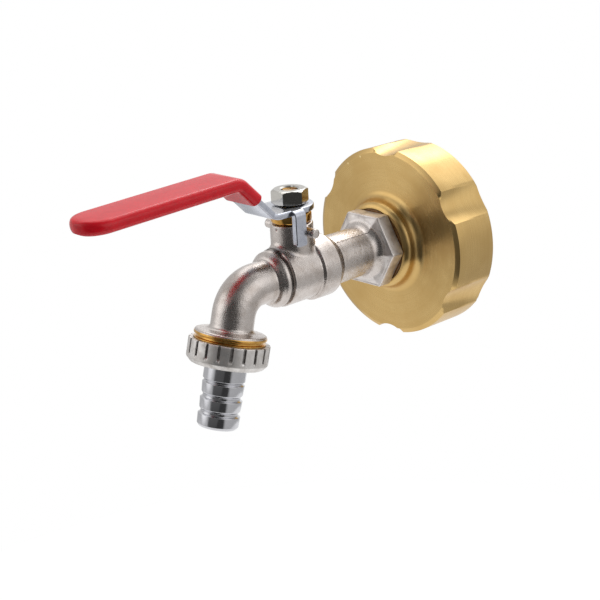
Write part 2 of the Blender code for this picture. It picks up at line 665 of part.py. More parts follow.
def make_lug_form():
    """Two round stop lugs cast on the neck's sides."""
    height = Z_NECK_TOP - LUG_BELOW_NECK_TOP
    lug_axis = (Vector((0, Y_BALL, height)), Vector((1, 0, 0)), Vector((0, 1, 0)), Vector((0, 0, 1)))
    points = []
    faces = []
    root = (PACKING_RADIUS + NECK_RADIUS) / 2
    edge = LUG_EDGE_BREAK
    for side in (-1, 1):
        profile = [(side * root, LUG_RADIUS), (side * (LUG_REACH - edge), LUG_RADIUS)]
        profile += [(side * LUG_REACH, LUG_RADIUS - edge)]
        rings = [circle(lug_axis, along, radius, SMALL_ROUND) for along, radius in profile]
        more_points, more_faces = skin(rings)
        offset = len(points)
        points += more_points
        faces += [tuple(i + offset for i in face) for face in more_faces]
    return make_object("lug_form", points, faces)


def make_body_casting():
    """Body casting: chamber, neck, lugs and spout fused, then bored out."""
    body = make_chamber_form()
    body.name = "body_casting"
    combine(body, make_neck_form(), "UNION")
    combine(body, make_lug_form(), "UNION")
    combine(body, make_spout_form(), "UNION")
    beyond = Y_SEAM + 2 * FIT
    chamber = [(beyond, THREAD_BORE), (Y_THREAD_END - FIT, THREAD_BORE)]
    chamber += [(Y_THREAD_END - FIT, CHAMBER_BORE), (Y_POCKET, CHAMBER_BORE)]
    combine(body, turned("chamber_bore_cutter", FLOW_AXIS, chamber, False), "DIFFERENCE")
    recess = STEM_COLLAR_RADIUS + FIT
    stem_hole = STEM_RADIUS + FIT
    neck = [(0, recess), (Z_SHOULDER, recess), (Z_SHOULDER, stem_hole), (Z_PACKING_FLOOR, stem_hole)]
    neck += [(Z_PACKING_FLOOR, PACKING_RADIUS), (Z_NECK_TOP + FIT, PACKING_RADIUS)]
    combine(body, turned("neck_bore_cutter", STEM_AXIS, neck, False, None, SMALL_ROUND), "DIFFERENCE")
    combine(body, make_spout_bore(), "DIFFERENCE")
    return dress(body, NICKEL, 0.42, 1.0)


# Stem, washers and gland
def make_stem(pivot):
    """Brass stem: tang in the ball's slot, blow-out collar, O-ring groove, flats and threaded stud."""
    groove = STEM_RADIUS - 2 * STEM_RING_SECTION - FIT
    ring_middle = (Z_SHOULDER + Z_PACKING_FLOOR) / 2
    side = STEM_RING_SECTION + FIT
    tang_foot = BALL_RADIUS - SLOT_DEPTH + FIT
    profile = [(tang_foot, TANG_HALF_LENGTH), (Z_COLLAR_FOOT, TANG_HALF_LENGTH)]
    profile += [(Z_COLLAR_FOOT, STEM_COLLAR_RADIUS), (Z_COLLAR_TOP, STEM_COLLAR_RADIUS)]
    profile += [(Z_COLLAR_TOP, STEM_RADIUS), (ring_middle - side, STEM_RADIUS)]
    profile += [(ring_middle - side, groove), (ring_middle + side, groove), (ring_middle + side, STEM_RADIUS)]
    profile += [(Z_PLATE_TOP - FIT, STEM_RADIUS), (Z_PLATE_TOP - FIT, STUD_RADIUS)]
    stud_top = Z_NUT_TOP - STUD_RECESS
    profile += [(stud_top - FIT, STUD_RADIUS), (stud_top, STUD_RADIUS - FIT)]
    stem = turned("stem", STEM_AXIS, profile, False, pivot, SMALL_ROUND)
    wide = STEM_COLLAR_RADIUS + CUT_BEYOND
    spans = []
    for direction in (-1, 1):
        tang_y = sorted((Y_BALL + direction * TANG_HALF_THICKNESS, Y_BALL + direction * wide))
        spans.append(((-wide, tang_y[0], 0), (wide, tang_y[1], Z_COLLAR_FOOT)))
        flat_x = sorted((direction * FLAT_HALF_WIDTH, direction * wide))
        spans.append(((flat_x[0], Y_BALL - wide, Z_PLATE - FIT), (flat_x[1], Y_BALL + wide, Z_PLATE_TOP)))
    combine(stem, boxes("stem_flat_cutter", spans), "DIFFERENCE")
    return dress(stem, BRASS, 0.3, 1.0)


def make_thrust_washer():
    """Thin washer between the stem's collar and the shoulder inside the neck."""
    foot = Z_COLLAR_TOP + FIT
    section = [(foot, STEM_RADIUS + FIT), (Z_WASHER_TOP, STEM_RADIUS + FIT)]
    section += [(Z_WASHER_TOP, STEM_COLLAR_RADIUS), (foot, STEM_COLLAR_RADIUS)]
    item = turned("stem_thrust_washer", STEM_AXIS, section, True, None, SMALL_ROUND)
    return dress(item, PTFE, 0.5, 0.0)


def make_stem_ring():
    """O-ring in the stem's groove."""
    middle = STEM_RADIUS - STEM_RING_SECTION
    height = (Z_SHOULDER + Z_PACKING_FLOOR) / 2
    return make_round_ring("stem_o_ring", STEM_AXIS, height, middle, STEM_RING_SECTION, BLACK_RUBBER)


def make_packing():
    """Packing ring that the gland nut squeezes round the stem."""
    foot = Z_PACKING_FLOOR + FIT
    inner = STEM_RADIUS + FIT
    outer = PACKING_RADIUS - FIT
    section = [(foot, inner), (Z_PACKING_TOP, inner), (Z_PACKING_TOP, outer), (foot, outer)]
    return dress(turned("stem_packing", STEM_AXIS, section, True, None, SMALL_ROUND), PTFE, 0.5, 0.0)


def make_gland_nut():
    """Bare brass gland nut screwed into the neck, with a driver slot across its head."""
    bore = STEM_RADIUS + FIT
    shank = PACKING_RADIUS - FIT
    foot = Z_PACKING_TOP + FIT
    head = Z_GLAND_HEAD
    top = Z_GLAND_TOP
    edge = GLAND_HEAD_CHAMFER
    section = [(foot, bore), (top, bore), (top, GLAND_HEAD_RADIUS - edge), (top - edge, GLAND_HEAD_RADIUS)]
    section += [(head + edge, GLAND_HEAD_RADIUS), (head, GLAND_HEAD_RADIUS - edge)]
    section += [(head, shank), (foot, shank)]
    gland = turned("gland_nut", STEM_AXIS, section, True)
    wide = GLAND_HEAD_RADIUS + CUT_BEYOND
    half = GLAND_SLOT_WIDTH / 2
    low = (-wide, Y_BALL - half, top - GLAND_SLOT_DEPTH)
    high = (wide, Y_BALL + half, top + edge)
    combine(gland, boxes("gland_slot_cutter", [(low, high)]), "DIFFERENCE")
    return dress(gland, BRASS, 0.28, 1.0)


# Lever
def lever_line():
    """Middle line of the lever plate from its rear end, as a list of (y, z, direction) points."""
    middle = Z_PLATE + PLATE_THICKNESS / 2
    first = CRANK_LOWER_BEND * math.tan(CRANK_ANGLE / 2)
    upper_turn = CRANK_ANGLE + GRIP_FALL
    second = CRANK_UPPER_BEND * math.tan(upper_turn / 2)
    crank_length = CRANK_RISE / math.sin(CRANK_ANGLE)
    corner_y = -CRANK_START
    top_y = corner_y - crank_length * math.cos(CRANK_ANGLE)
    top_z = middle + CRANK_RISE
    line = []
    centre_y = corner_y + first
    for k in range(ARC + 1):
        angle = CRANK_ANGLE * k / ARC
        y = centre_y - CRANK_LOWER_BEND * math.sin(angle)
        z = middle + CRANK_LOWER_BEND * (1 - math.cos(angle))
        line.append((y, z, angle))
    start_y = top_y + second * math.cos(CRANK_ANGLE)
    start_z = top_z - second * math.sin(CRANK_ANGLE)
    hub_y = start_y - CRANK_UPPER_BEND * math.sin(CRANK_ANGLE)
    hub_z = start_z - CRANK_UPPER_BEND * math.cos(CRANK_ANGLE)
    for k in range(ARC + 1):
        angle = CRANK_ANGLE - upper_turn * k / ARC
        y = hub_y + CRANK_UPPER_BEND * math.sin(angle)
        z = hub_z + CRANK_UPPER_BEND * math.cos(angle)
        line.append((y, z, angle))
    return line


def crank_point(distance):
    """Point on the straight crank, a distance up from its lower corner."""
    middle = Z_PLATE + PLATE_THICKNESS / 2
    y = -CRANK_START - distance * math.cos(CRANK_ANGLE)
    z = middle + distance * math.sin(CRANK_ANGLE)
    return y, z, CRANK_ANGLE


def grip_point(reach):
    """Point on the falling grip at a distance in front of the stem."""
    y, z, angle = lever_line()[-1]
    return -reach, z - (reach + y) * math.tan(GRIP_FALL), -GRIP_FALL


def lever_section(point, half_width, half_height, edge, steps):
    """Rounded or broken-edged oblong square to the lever's line."""
    y, z, angle = point
    along = Vector((0, -math.cos(angle), math.sin(angle)))
    across = Vector((1, 0, 0))
    up = across.cross(along) * -1
    place = Vector((0, Y_BALL + y, z))
    edge = min(edge, half_width * FULLEST_EDGE, half_height * FULLEST_EDGE)
    ring = []
    for quarter, (side, rise) in enumerate(((1, 1), (-1, 1), (-1, -1), (1, -1))):
        for k in range(steps + 1):
            turn = math.pi / 2 * (quarter + k / steps)
            right = side * (half_width - edge) + edge * math.cos(turn)
            lift = rise * (half_height - edge) + edge * math.sin(turn)
            ring.append(place + across * right + up * lift)
    return ring


def make_lever_plate(pivot):
    """Pressed lever plate: round rear end, crank, long tongue under the grip, and two stop tabs."""
    half = PLATE_THICKNESS / 2
    middle = Z_PLATE + half
    rings = []
    for k in range(END_STEPS):
        angle = math.pi / 2 * (k + BLUNT_END) / END_STEPS
        y = PLATE_HALF_WIDTH * math.cos(angle)
        width = PLATE_HALF_WIDTH * math.sin(angle)
        rings.append(lever_section((y, middle, 0.0), width, half, PLATE_EDGE_BREAK, 1))
    rings.append(lever_section((0.0, middle, 0.0), PLATE_HALF_WIDTH, half, PLATE_EDGE_BREAK, 1))
    for index, point in enumerate(lever_line()):
        share = min(1.0, index / ARC)
        width = PLATE_HALF_WIDTH + (SHANK_HALF_WIDTH - PLATE_HALF_WIDTH) * share
        rings.append(lever_section(point, width, half, PLATE_EDGE_BREAK, 1))
    tip = LEVER_REACH - GRIP_WALL - FIT
    for k in range(END_STEPS + 1):
        angle = math.pi / 2 * k / (END_STEPS + BLUNT_END)
        reach = tip - SHANK_HALF_WIDTH * (1 - math.sin(angle))
        width = SHANK_HALF_WIDTH * math.cos(angle)
        rings.append(lever_section(grip_point(reach), width, half, PLATE_EDGE_BREAK, 1))
    plate = make_object("lever_plate", *skin(rings), pivot)
    combine(plate, make_tab_form("open_stop_tab_form", -1, 0.0, 0.0), "UNION")
    combine(plate, make_tab_form("closed_stop_tab_form", 1, REAR_TAB_SETBACK, math.pi / 2), "UNION")
    hole = STEM_RADIUS + FIT
    flat = FLAT_HALF_WIDTH + FIT
    outline = []
    for k in range(SMALL_ROUND):
        angle = 2 * math.pi * (k + 0.5) / SMALL_ROUND
        x = max(-flat, min(flat, hole * math.cos(angle)))
        outline.append((x, hole * math.sin(angle)))
    levels = (Z_PLATE - half, Z_PLATE_TOP + half)
    hole_rings = [[Vector((x, Y_BALL + y, z)) for x, y in outline] for z in levels]
    combine(plate, make_object("plate_hole_cutter", *skin(hole_rings)), "DIFFERENCE")
    return dress(plate, CHROME, 0.15, 1.0)


def make_tab_form(name, side, setback, turn):
    """Stop tab bent down from the plate's edge, one side of a lug, turned about the stem by an angle."""
    outer = PLATE_HALF_WIDTH + TAB_BEND + setback
    inner = outer - PLATE_THICKNESS
    near = LUG_RADIUS + FIT
    sides = (side * near, side * (near + TAB_WIDTH))
    edge_radius = PLATE_THICKNESS
    foot = Z_PLATE - TAB_DROP
    root = PLATE_HALF_WIDTH / 2
    bottom_break = TAB_WIDTH / 10
    outline = [(root, Z_PLATE), (inner, Z_PLATE), (inner, foot + bottom_break), (inner + bottom_break, foot)]
    outline += [(outer - bottom_break, foot), (outer, foot + bottom_break)]
    outline += arc(outer - edge_radius, Z_PLATE_TOP - edge_radius, edge_radius, 0, 90)
    outline += [(root, Z_PLATE_TOP)]
    rings = []
    for y in sides:
        ring = []
        for x, z in outline:
            spun = Matrix.Rotation(turn, 3, "Z") @ Vector((x, y, z))
            ring.append(spun + Vector((0, Y_BALL, 0)))
        rings.append(ring)
    return make_object(name, *skin(rings))


def make_lever_grip(pivot):
    """Dipped vinyl sleeve: soft-edged, round at the tip, open where the plate comes out."""
    half = PLATE_THICKNESS / 2 + FIT + GRIP_WALL
    width = SHANK_HALF_WIDTH + FIT + GRIP_WALL
    bend = lever_line()[ARC + 1:]
    stations = [(crank_point(GRIP_END_UP_CRANK), width, half)]
    stations += [(point, width, half) for point in bend]
    for k in range(END_STEPS + 1):
        angle = math.pi / 2 * k / (END_STEPS + BLUNT_END)
        reach = LEVER_REACH - width * (1 - math.sin(angle))
        thin = half * (1 - GRIP_TIP_THINNING * math.sin(angle) ** 8)
        stations.append((grip_point(reach), width * math.cos(angle), thin))
    rings = [lever_section(point, wide, thick, GRIP_EDGE_ROUND, 4) for point, wide, thick in stations]
    grip = make_object("lever_grip", *skin(rings), pivot)
    pocket_half = PLATE_THICKNESS / 2 + FIT
    pocket_width = SHANK_HALF_WIDTH + FIT
    pocket = [(crank_point(GRIP_END_UP_CRANK - GRIP_WALL), pocket_width, pocket_half)]
    pocket += [(point, pocket_width, pocket_half) for point in bend]
    for k in range(END_STEPS + 1):
        angle = math.pi / 2 * k / (END_STEPS + BLUNT_END)
        reach = LEVER_REACH - GRIP_WALL - pocket_width * (1 - math.sin(angle))
        pocket.append((grip_point(reach), pocket_width * math.cos(angle), pocket_half))
    pocket_rings = [lever_section(point, wide, thick, PLATE_EDGE_BREAK, 1) for point, wide, thick in pocket]
    combine(grip, make_object("grip_pocket_cutter", *skin(pocket_rings)), "DIFFERENCE")
    return dress(grip, RED_VINYL, 0.35, 0.0)


def make_handle_nut(pivot):
    """Hexagon nut that clamps the lever on the stem, chamfered on top and bottom."""
    half = NUT_ACROSS_FLATS / 2
    corner = half / math.cos(math.pi / 6)
    bore = STUD_RADIUS + FIT
    sides = hexagon_reach(half, math.pi / 6)
    stations = []
    for share in (0, 0.5, 1):
        stations.append((Z_NUT + NUT_FOOT_CHAMFER * share, half + (corner - half) * share))
    for share in (1, 0.5, 0):
        stations.append((Z_NUT_TOP - NUT_CHAMFER * share, half + (corner - half) * share))
    rings = []
    for height, limit in stations:
        rings.append(circle(NUT_AXIS, height, lambda angle, cap=limit: min(sides(angle), cap), HEX_ROUND))
    inner = [(Z_NUT_TOP, bore + NUT_COUNTERSINK), (Z_NUT_TOP - NUT_COUNTERSINK, bore), (Z_NUT, bore)]
    rings += [circle(NUT_AXIS, height, radius, HEX_ROUND) for height, radius in inner]
    points, faces = skin(rings, ring_closes=True)
    return dress(make_object("handle_nut", points, faces, pivot), CHROME, 0.2, 1.0)


# Union nut, washer and hose tail
def union_angles():
    """Angles that land on both walls of every slot."""
    half = math.asin(UNION_SLOT_HALF_WIDTH / UNION_RADIUS)
    pitch = 2 * math.pi / UNION_SLOTS
    angles = []
    for slot in range(UNION_SLOTS):
        middle = slot * pitch
        wall = half * (1 + UNION_SLOT_SLOPE)
        angles += [(middle - wall, False), (middle - half, True)]
        angles += [(middle + half, True), (middle + wall, False)]
    return angles


def union_ring(along, radius, slot_radius):
    """Ring round the union nut, let in at the slots."""
    origin, forward, across, up = SPOUT_AXIS
    ring = []
    for angle, in_slot in union_angles():
        reach = min(radius, slot_radius) if in_slot else radius
        ring.append(origin + forward * along + (across * math.cos(angle) + up * math.sin(angle)) * reach)
    return ring


def make_union_nut(pivot):
    """Hand nut with milled grip slots, holding the hose tail's flange up to the spigot."""
    top = S_UNION_TOP
    foot = S_UNION_FOOT
    edge = UNION_SLOT_DEPTH / 2
    deep = UNION_RADIUS - UNION_SLOT_DEPTH
    slot_end = top + UNION_SLOT_LENGTH
    neck = TAIL_RADIUS + FIT
    stations = [(top, UNION_RADIUS - edge, deep), (top + edge, UNION_RADIUS, deep)]
    stations += [(slot_end, UNION_RADIUS, deep), (slot_end + edge, UNION_RADIUS, UNION_RADIUS)]
    chamfer = UNION_FOOT_CHAMFER
    for k in range(3):
        angle = math.pi / 2 * k / 2
        along = foot - chamfer * (1 - math.sin(angle))
        stations.append((along, UNION_RADIUS - chamfer * (1 - math.cos(angle)), UNION_RADIUS))
    nut = make_object("union_nut", *skin([union_ring(*station) for station in stations]), pivot)
    hollow = [(top - chamfer, UNION_BORE), (S_UNION_FLOOR, UNION_BORE)]
    hollow += [(S_UNION_FLOOR, neck), (foot + chamfer, neck)]
    combine(nut, turned("union_hollow_cutter", SPOUT_AXIS, hollow, False), "DIFFERENCE")
    return dress(nut, NICKEL, 0.4, 1.0)


def make_tail_washer():
    """Flat rubber washer between the spigot and the hose tail's flange."""
    outer = SPIGOT_THREAD_RADIUS - 2 * FIT
    inner = TAIL_BORE_RADIUS + SEAL_SECTION
    foot = S_WASHER + TAIL_WASHER_THICKNESS
    section = [(S_WASHER, inner), (foot, inner), (foot, outer), (S_WASHER, outer)]
    return dress(turned("tail_washer", SPOUT_AXIS, section, True), BLACK_RUBBER, 0.6, 0.0)


def make_hose_tail(pivot):
    """Turned hose tail: flange, plain collar, and barbs that taper towards the hose's end."""
    root = TAIL_RADIUS - BARB_GROOVE
    flange = SPIGOT_THREAD_RADIUS - 2 * FIT
    flange_foot = S_TAIL_FLANGE + TAIL_FLANGE_THICKNESS
    collar_end = S_UNION_FOOT + TAIL_COLLAR_LENGTH
    section = [(S_TAIL_FLANGE, TAIL_BORE_RADIUS), (S_TAIL_FLANGE, flange)]
    section += [(flange_foot, flange), (flange_foot, TAIL_RADIUS)]
    section += [(collar_end - BARB_GROOVE / 2, TAIL_RADIUS)]
    for barb in range(BARB_COUNT):
        start = collar_end + barb * BARB_PITCH
        crest = start + BARB_NECK_LENGTH
        section += [(start, root), (start + BARB_NECK_LENGTH / 3, root)]
        section += [(crest, TAIL_RADIUS - BARB_GROOVE / 6), (crest + BARB_GROOVE / 3, TAIL_RADIUS)]
        if barb < BARB_COUNT - 1:
            section += [(start + BARB_PITCH - BARB_GROOVE / 2, TAIL_RADIUS - BARB_TAPER)]
    end = collar_end + BARB_COUNT * BARB_PITCH
    section += [(end - BARB_GROOVE, TAIL_RADIUS - BARB_TAPER / 2)]
    section += [(end - BARB_GROOVE / 3, TAIL_RADIUS - BARB_TAPER)]
    section += [(end, TAIL_RADIUS - BARB_GROOVE - BARB_TAPER / 2), (end, TAIL_BORE_RADIUS)]
    return dress(turned("hose_tail", SPOUT_AXIS, section, True, pivot), CHROME, 0.18, 1.0)


clear_scene()
STEM_PIVOT = Vector((0, Y_BALL, 0))
SPOUT_PIVOT = CORNER + DOWN_SPOUT * S_UNION_TOP

make_tank_cap()
make_cap_gasket()
make_inlet_end()
make_inlet_seal()
make_body_joint_ring()
make_body_casting()
make_seat("ball_seat_inlet", 1)
make_seat("ball_seat_outlet", -1)
make_ball()
make_stem(STEM_PIVOT)
make_thrust_washer()
make_stem_ring()
make_packing()
make_gland_nut()
make_lever_plate(STEM_PIVOT)
make_lever_grip(STEM_PIVOT)
make_handle_nut(STEM_PIVOT)
make_union_nut(SPOUT_PIVOT)
make_tail_washer()
make_hose_tail(SPOUT_PIVOT)
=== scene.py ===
"""Looks of a ball tap on a scalloped tank cap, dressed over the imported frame. Metres, +Z up; the flow
runs along -Y from the cap. Sizes of pieces are in millimetres, and what textures, lamps and camera take
is in metres."""

import math

import bmesh
import bpy
import numpy as np
from mathutils import Matrix, Vector


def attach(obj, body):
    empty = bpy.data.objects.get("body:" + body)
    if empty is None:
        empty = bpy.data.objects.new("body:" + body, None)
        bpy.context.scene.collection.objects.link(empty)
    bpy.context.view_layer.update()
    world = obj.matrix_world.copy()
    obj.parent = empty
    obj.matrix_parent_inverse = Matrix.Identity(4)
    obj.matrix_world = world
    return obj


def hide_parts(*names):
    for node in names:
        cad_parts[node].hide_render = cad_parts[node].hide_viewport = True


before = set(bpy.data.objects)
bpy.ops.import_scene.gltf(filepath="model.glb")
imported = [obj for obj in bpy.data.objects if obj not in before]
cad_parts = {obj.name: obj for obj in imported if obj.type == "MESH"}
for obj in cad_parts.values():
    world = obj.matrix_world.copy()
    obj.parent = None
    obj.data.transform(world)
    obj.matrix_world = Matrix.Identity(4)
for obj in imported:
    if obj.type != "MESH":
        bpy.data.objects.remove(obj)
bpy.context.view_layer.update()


# Tank cap: turned from brass bar, with six finger scallops milled across its rim, a flat face chamfered
# at its edge, and a filleted boss. A coarse thread in its socket screws on the tank's outlet.
MM = 0.001
FLOW_LINE = (Vector((0, 0, 0)), Vector((0, 1, 0)), Vector((1, 0, 0)), Vector((0, 0, 1)))
CAP_RADIUS = 37.8
CAP_FRONT = -20.8
SCALLOP_DEPTH = 2.9
SCALLOP_REAR_DEPTH = 1.2
SCALLOP_HALF_WIDTH = 6.7
BOSS_RADIUS = 17.6
BOSS_FILLET = 3.4
BOSS_END = -27.6
BOSS_ROUND = 2.6
SEAL_SHELF = -26.1
SEAL_RECESS = 15.1
CAP_BORE = 13.3
SOCKET_RADIUS = 30.3
SOCKET_DEPTH = 14.5
CAP_THREAD_CREST = 27.7
CAP_THREAD_PITCH = 6.0
BRASS_COLOUR = (0.680, 0.470, 0.195)
BRASS_SHADE = (0.590, 0.385, 0.142)
NICK_PLACES = ((-13.0, -20.8, 33.0), (-20.1, -20.8, 29.3))
NICK_COLOUR = (0.900, 0.700, 0.350)


def rounded_profile(corners, closed=False, steps=4):
    """Profile through (along, radius, rounding) corners, with an arc at each corner that has a rounding."""
    line = []
    count = len(corners)
    for k, (along, radius, rounding) in enumerate(corners):
        corner = np.array((along, radius), float)
        if rounding == 0 or (not closed and k in (0, count - 1)):
            line.append(tuple(corner))
            continue
        back = np.array(corners[k - 1][:2], float) - corner
        ahead = np.array(corners[(k + 1) % count][:2], float) - corner
        back /= np.linalg.norm(back)
        ahead /= np.linalg.norm(ahead)
        half = math.acos(max(-1.0, min(1.0, float(back @ ahead)))) / 2
        bisector = (back + ahead) / np.linalg.norm(back + ahead)
        centre = corner + bisector * rounding / math.sin(half)
        first = corner + back * rounding / math.tan(half) - centre
        last = corner + ahead * rounding / math.tan(half) - centre
        sweep = math.pi - 2 * half
        for step in range(steps + 1):
            share = step / steps
            before = math.sin((1 - share) * sweep) / math.sin(sweep)
            after = math.sin(share * sweep) / math.sin(sweep)
            line.append(tuple(centre + first * before + last * after))
    return line


def arc_profile(along, radius, size, start, end, steps=8):
    """(along, radius) points on an arc; the angles are in degrees from the along direction."""
    turns = [math.radians(start + (end - start) * k / steps) for k in range(steps + 1)]
    return [(along + size * math.cos(turn), radius + size * math.sin(turn)) for turn in turns]


def grid_faces(rows, columns, closes):
    """Quads between rings of equal count; the last meets the first if it closes, else both are capped."""
    faces = []
    for row in range(rows if closes else rows - 1):
        here = row * columns
        there = ((row + 1) % rows) * columns
        for k in range(columns):
            after = (k + 1) % columns
            faces.append((here + k, here + after, there + after, there + k))
    if not closes:
        faces.append(tuple(range(columns)))
        faces.append(tuple(range((rows - 1) * columns, rows * columns)))
    return faces


def turned_form(line, profile, closes, angles=128, reach=None):
    """Points and faces of a form turned about a line; reach trims the radius at each angle and place."""
    origin, forward, across, up = [np.array(v, float) for v in line]
    if isinstance(angles, int):
        angles = [2 * math.pi * k / angles for k in range(angles)]
    points = []
    for along, radius in profile:
        for angle in angles:
            size = reach(angle, radius, along) if reach else radius
            spoke = across * math.cos(angle) + up * math.sin(angle)
            points.append(origin + forward * along + spoke * size)
    return points, grid_faces(len(profile), len(angles), closes)


def thread_ridge(line, root, crest, pitch, start, end, root_width, crest_width, per_turn=72):
    """Helical ridge between two places on a line, fading out at both ends."""
    origin, forward, across, up = [np.array(v, float) for v in line]
    turns = (end - start) / pitch
    count = max(8, int(abs(turns) * per_turn))
    sink = 0.25 * (1 if root > crest else -1)
    points = []
    for k in range(count + 1):
        share = k / count
        angle = 2 * math.pi * turns * share
        fade = min(1.0, share * count / (per_turn / 6), (1 - share) * count / (per_turn / 6))
        top = root + (crest - root) * max(0.02, fade)
        middle = start + (end - start) * share
        spoke = across * math.cos(angle) + up * math.sin(angle)
        for offset, radius in ((-root_width / 2, root + sink), (-crest_width / 2, top),
                               (crest_width / 2, top), (root_width / 2, root + sink)):
            points.append(origin + forward * (middle + offset) + spoke * radius)
    return points, grid_faces(count + 1, 4, False)


def make_piece(name, forms, material=None, sharp=35):
    """One object from (points in mm, faces) forms, smooth apart from its edges."""
    points = []
    faces = []
    for form_points, form_faces in forms:
        shift = len(points)
        points += [Vector(p) * MM for p in form_points]
        faces += [tuple(i + shift for i in face) for face in form_faces]
    mesh = bpy.data.meshes.new(name)
    mesh.from_pydata(points, [], faces)
    shape = bmesh.new()
    shape.from_mesh(mesh)
    bmesh.ops.remove_doubles(shape, verts=shape.verts, dist=1e-7)
    bmesh.ops.recalc_face_normals(shape, faces=shape.faces)
    shape.to_mesh(mesh)
    shape.free()
    mesh.shade_smooth()
    mesh.set_sharp_from_angle(angle=math.radians(sharp))
    if material:
        mesh.materials.append(material)
    piece = bpy.data.objects.new(name, mesh)
    bpy.context.scene.collection.objects.link(piece)
    return piece


def join_frame(piece, body, slot, *stands_for):
    """Let a piece ride on its body and hide the nodes that it stands for; the slot is not used."""
    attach(piece, body)
    if stands_for:
        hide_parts(*stands_for)


class Nodes:
    """A node tree, with short ways to add the nodes that the finishes and the studio share."""

    def __init__(self, tree):
        self.tree = tree

    def put(self, kind, wires=None, **settings):
        """Add a node with its settings, and wire or set its inputs."""
        node = self.tree.nodes.new("ShaderNode" + kind)
        for key, value in settings.items():
            setattr(node, key, value)
        for socket, value in (wires or {}).items():
            if isinstance(value, bpy.types.NodeSocket):
                self.tree.links.new(value, node.inputs[socket])
            else:
                node.inputs[socket].default_value = value
        return node

    def sum(self, operation, first, second=0.0):
        """Result of a sum on two values."""
        return self.put("Math", {0: first, 1: second}, operation=operation).outputs["Value"]

    def ramp(self, source, low, high, out_low=0.0, out_high=1.0, **settings):
        """Map a value from one span to another."""
        wires = {"Value": source, "From Min": low, "From Max": high, "To Min": out_low, "To Max": out_high}
        return self.put("MapRange", wires, **settings).outputs["Result"]


class Finish(Nodes):
    """A Principled material whose textures lie in the piece's own coordinates."""

    def __init__(self, name, colour, metallic, roughness):
        self.material = bpy.data.materials.new(name)
        self.material.use_nodes = True
        super().__init__(self.material.node_tree)
        self.shader = self.tree.nodes["Principled BSDF"]
        self.shader.inputs["Base Color"].default_value = (*colour, 1)
        self.shader.inputs["Metallic"].default_value = metallic
        self.shader.inputs["Roughness"].default_value = roughness
        self.place = self.put("TexCoord").outputs["Object"]

    def wire(self, source, socket):
        """Wire a value, colour or direction to the shader."""
        self.tree.links.new(source, self.shader.inputs[socket])

    def noise(self, scale, detail, **more):
        """Cloudy texture over the piece."""
        wires = {"Vector": self.place, "Scale": scale, "Detail": detail, **more}
        return self.put("TexNoise", wires).outputs["Fac"]

    def marks(self, along, scale, detail):
        """Turning marks: a texture along one measure."""
        wires = {"W": along, "Scale": scale, "Detail": detail}
        return self.put("TexNoise", wires, noise_dimensions="1D").outputs["Fac"]

    def tint(self, factor, first, second):
        """Colour between two by a factor; the first may be a wired colour."""
        first = first if isinstance(first, bpy.types.NodeSocket) else (*first, 1)
        return self.put("Mix", {"Factor": factor, 6: first, 7: (*second, 1)}, data_type="RGBA").outputs[2]

    def mottle(self, source, low, high, first, second):
        """Colour the shader in patches where a texture lies between low and high."""
        self.wire(self.tint(self.ramp(source, low, high), first, second), "Base Color")

    def roughen(self, source, smoothest, roughest):
        """Vary the shader's roughness by a texture."""
        self.wire(self.ramp(source, 0.3, 0.7, smoothest, roughest), "Roughness")

    def relief(self, height, strength, distance, under=None):
        """Small relief from a texture, on top of the relief under it."""
        wires = {"Height": height, "Strength": strength, "Distance": distance}
        if under is not None:
            wires["Normal"] = under
        return self.put("Bump", wires).outputs["Normal"]

    def stretch_shine(self, axis, amount):
        """Stretch the shine round an axis, as turning marks do."""
        self.shader.inputs["Anisotropic"].default_value = amount
        self.shader.inputs["Anisotropic Rotation"].default_value = 0.25
        self.wire(self.put("Tangent", direction_type="RADIAL", axis=axis).outputs["Tangent"], "Tangent")


def scallop_reach(angle, along):
    """Distance from the cap's centre to the milled scallops, which get shallower to the rear."""
    half_angle = math.asin(SCALLOP_HALF_WIDTH / CAP_RADIUS)
    cut = SCALLOP_REAR_DEPTH + (SCALLOP_DEPTH - SCALLOP_REAR_DEPTH) * along / CAP_FRONT
    sag = cut - CAP_RADIUS * (1 - math.cos(half_angle))
    cutter = (SCALLOP_HALF_WIDTH ** 2 + sag ** 2) / (2 * sag)
    centre = CAP_RADIUS - cut + cutter
    turn = (angle - math.pi / 2 + math.pi / 6) % (math.pi / 3) - math.pi / 6
    inside = cutter ** 2 - (centre * math.sin(turn)) ** 2
    if inside <= 0 or abs(turn) > half_angle:
        return CAP_RADIUS
    return centre * math.cos(turn) - math.sqrt(inside)


def cap_angles():
    """Angles round the cap that land on every scallop corner."""
    half_angle = math.asin(SCALLOP_HALF_WIDTH / CAP_RADIUS)
    angles = []
    for scallop in range(6):
        middle = math.pi / 2 + scallop * math.pi / 3
        angles += [middle - half_angle + 2 * half_angle * k / 24 for k in range(24)]
        angles += [middle + half_angle + (math.pi / 3 - 2 * half_angle) * k / 22 for k in range(22)]
    return angles


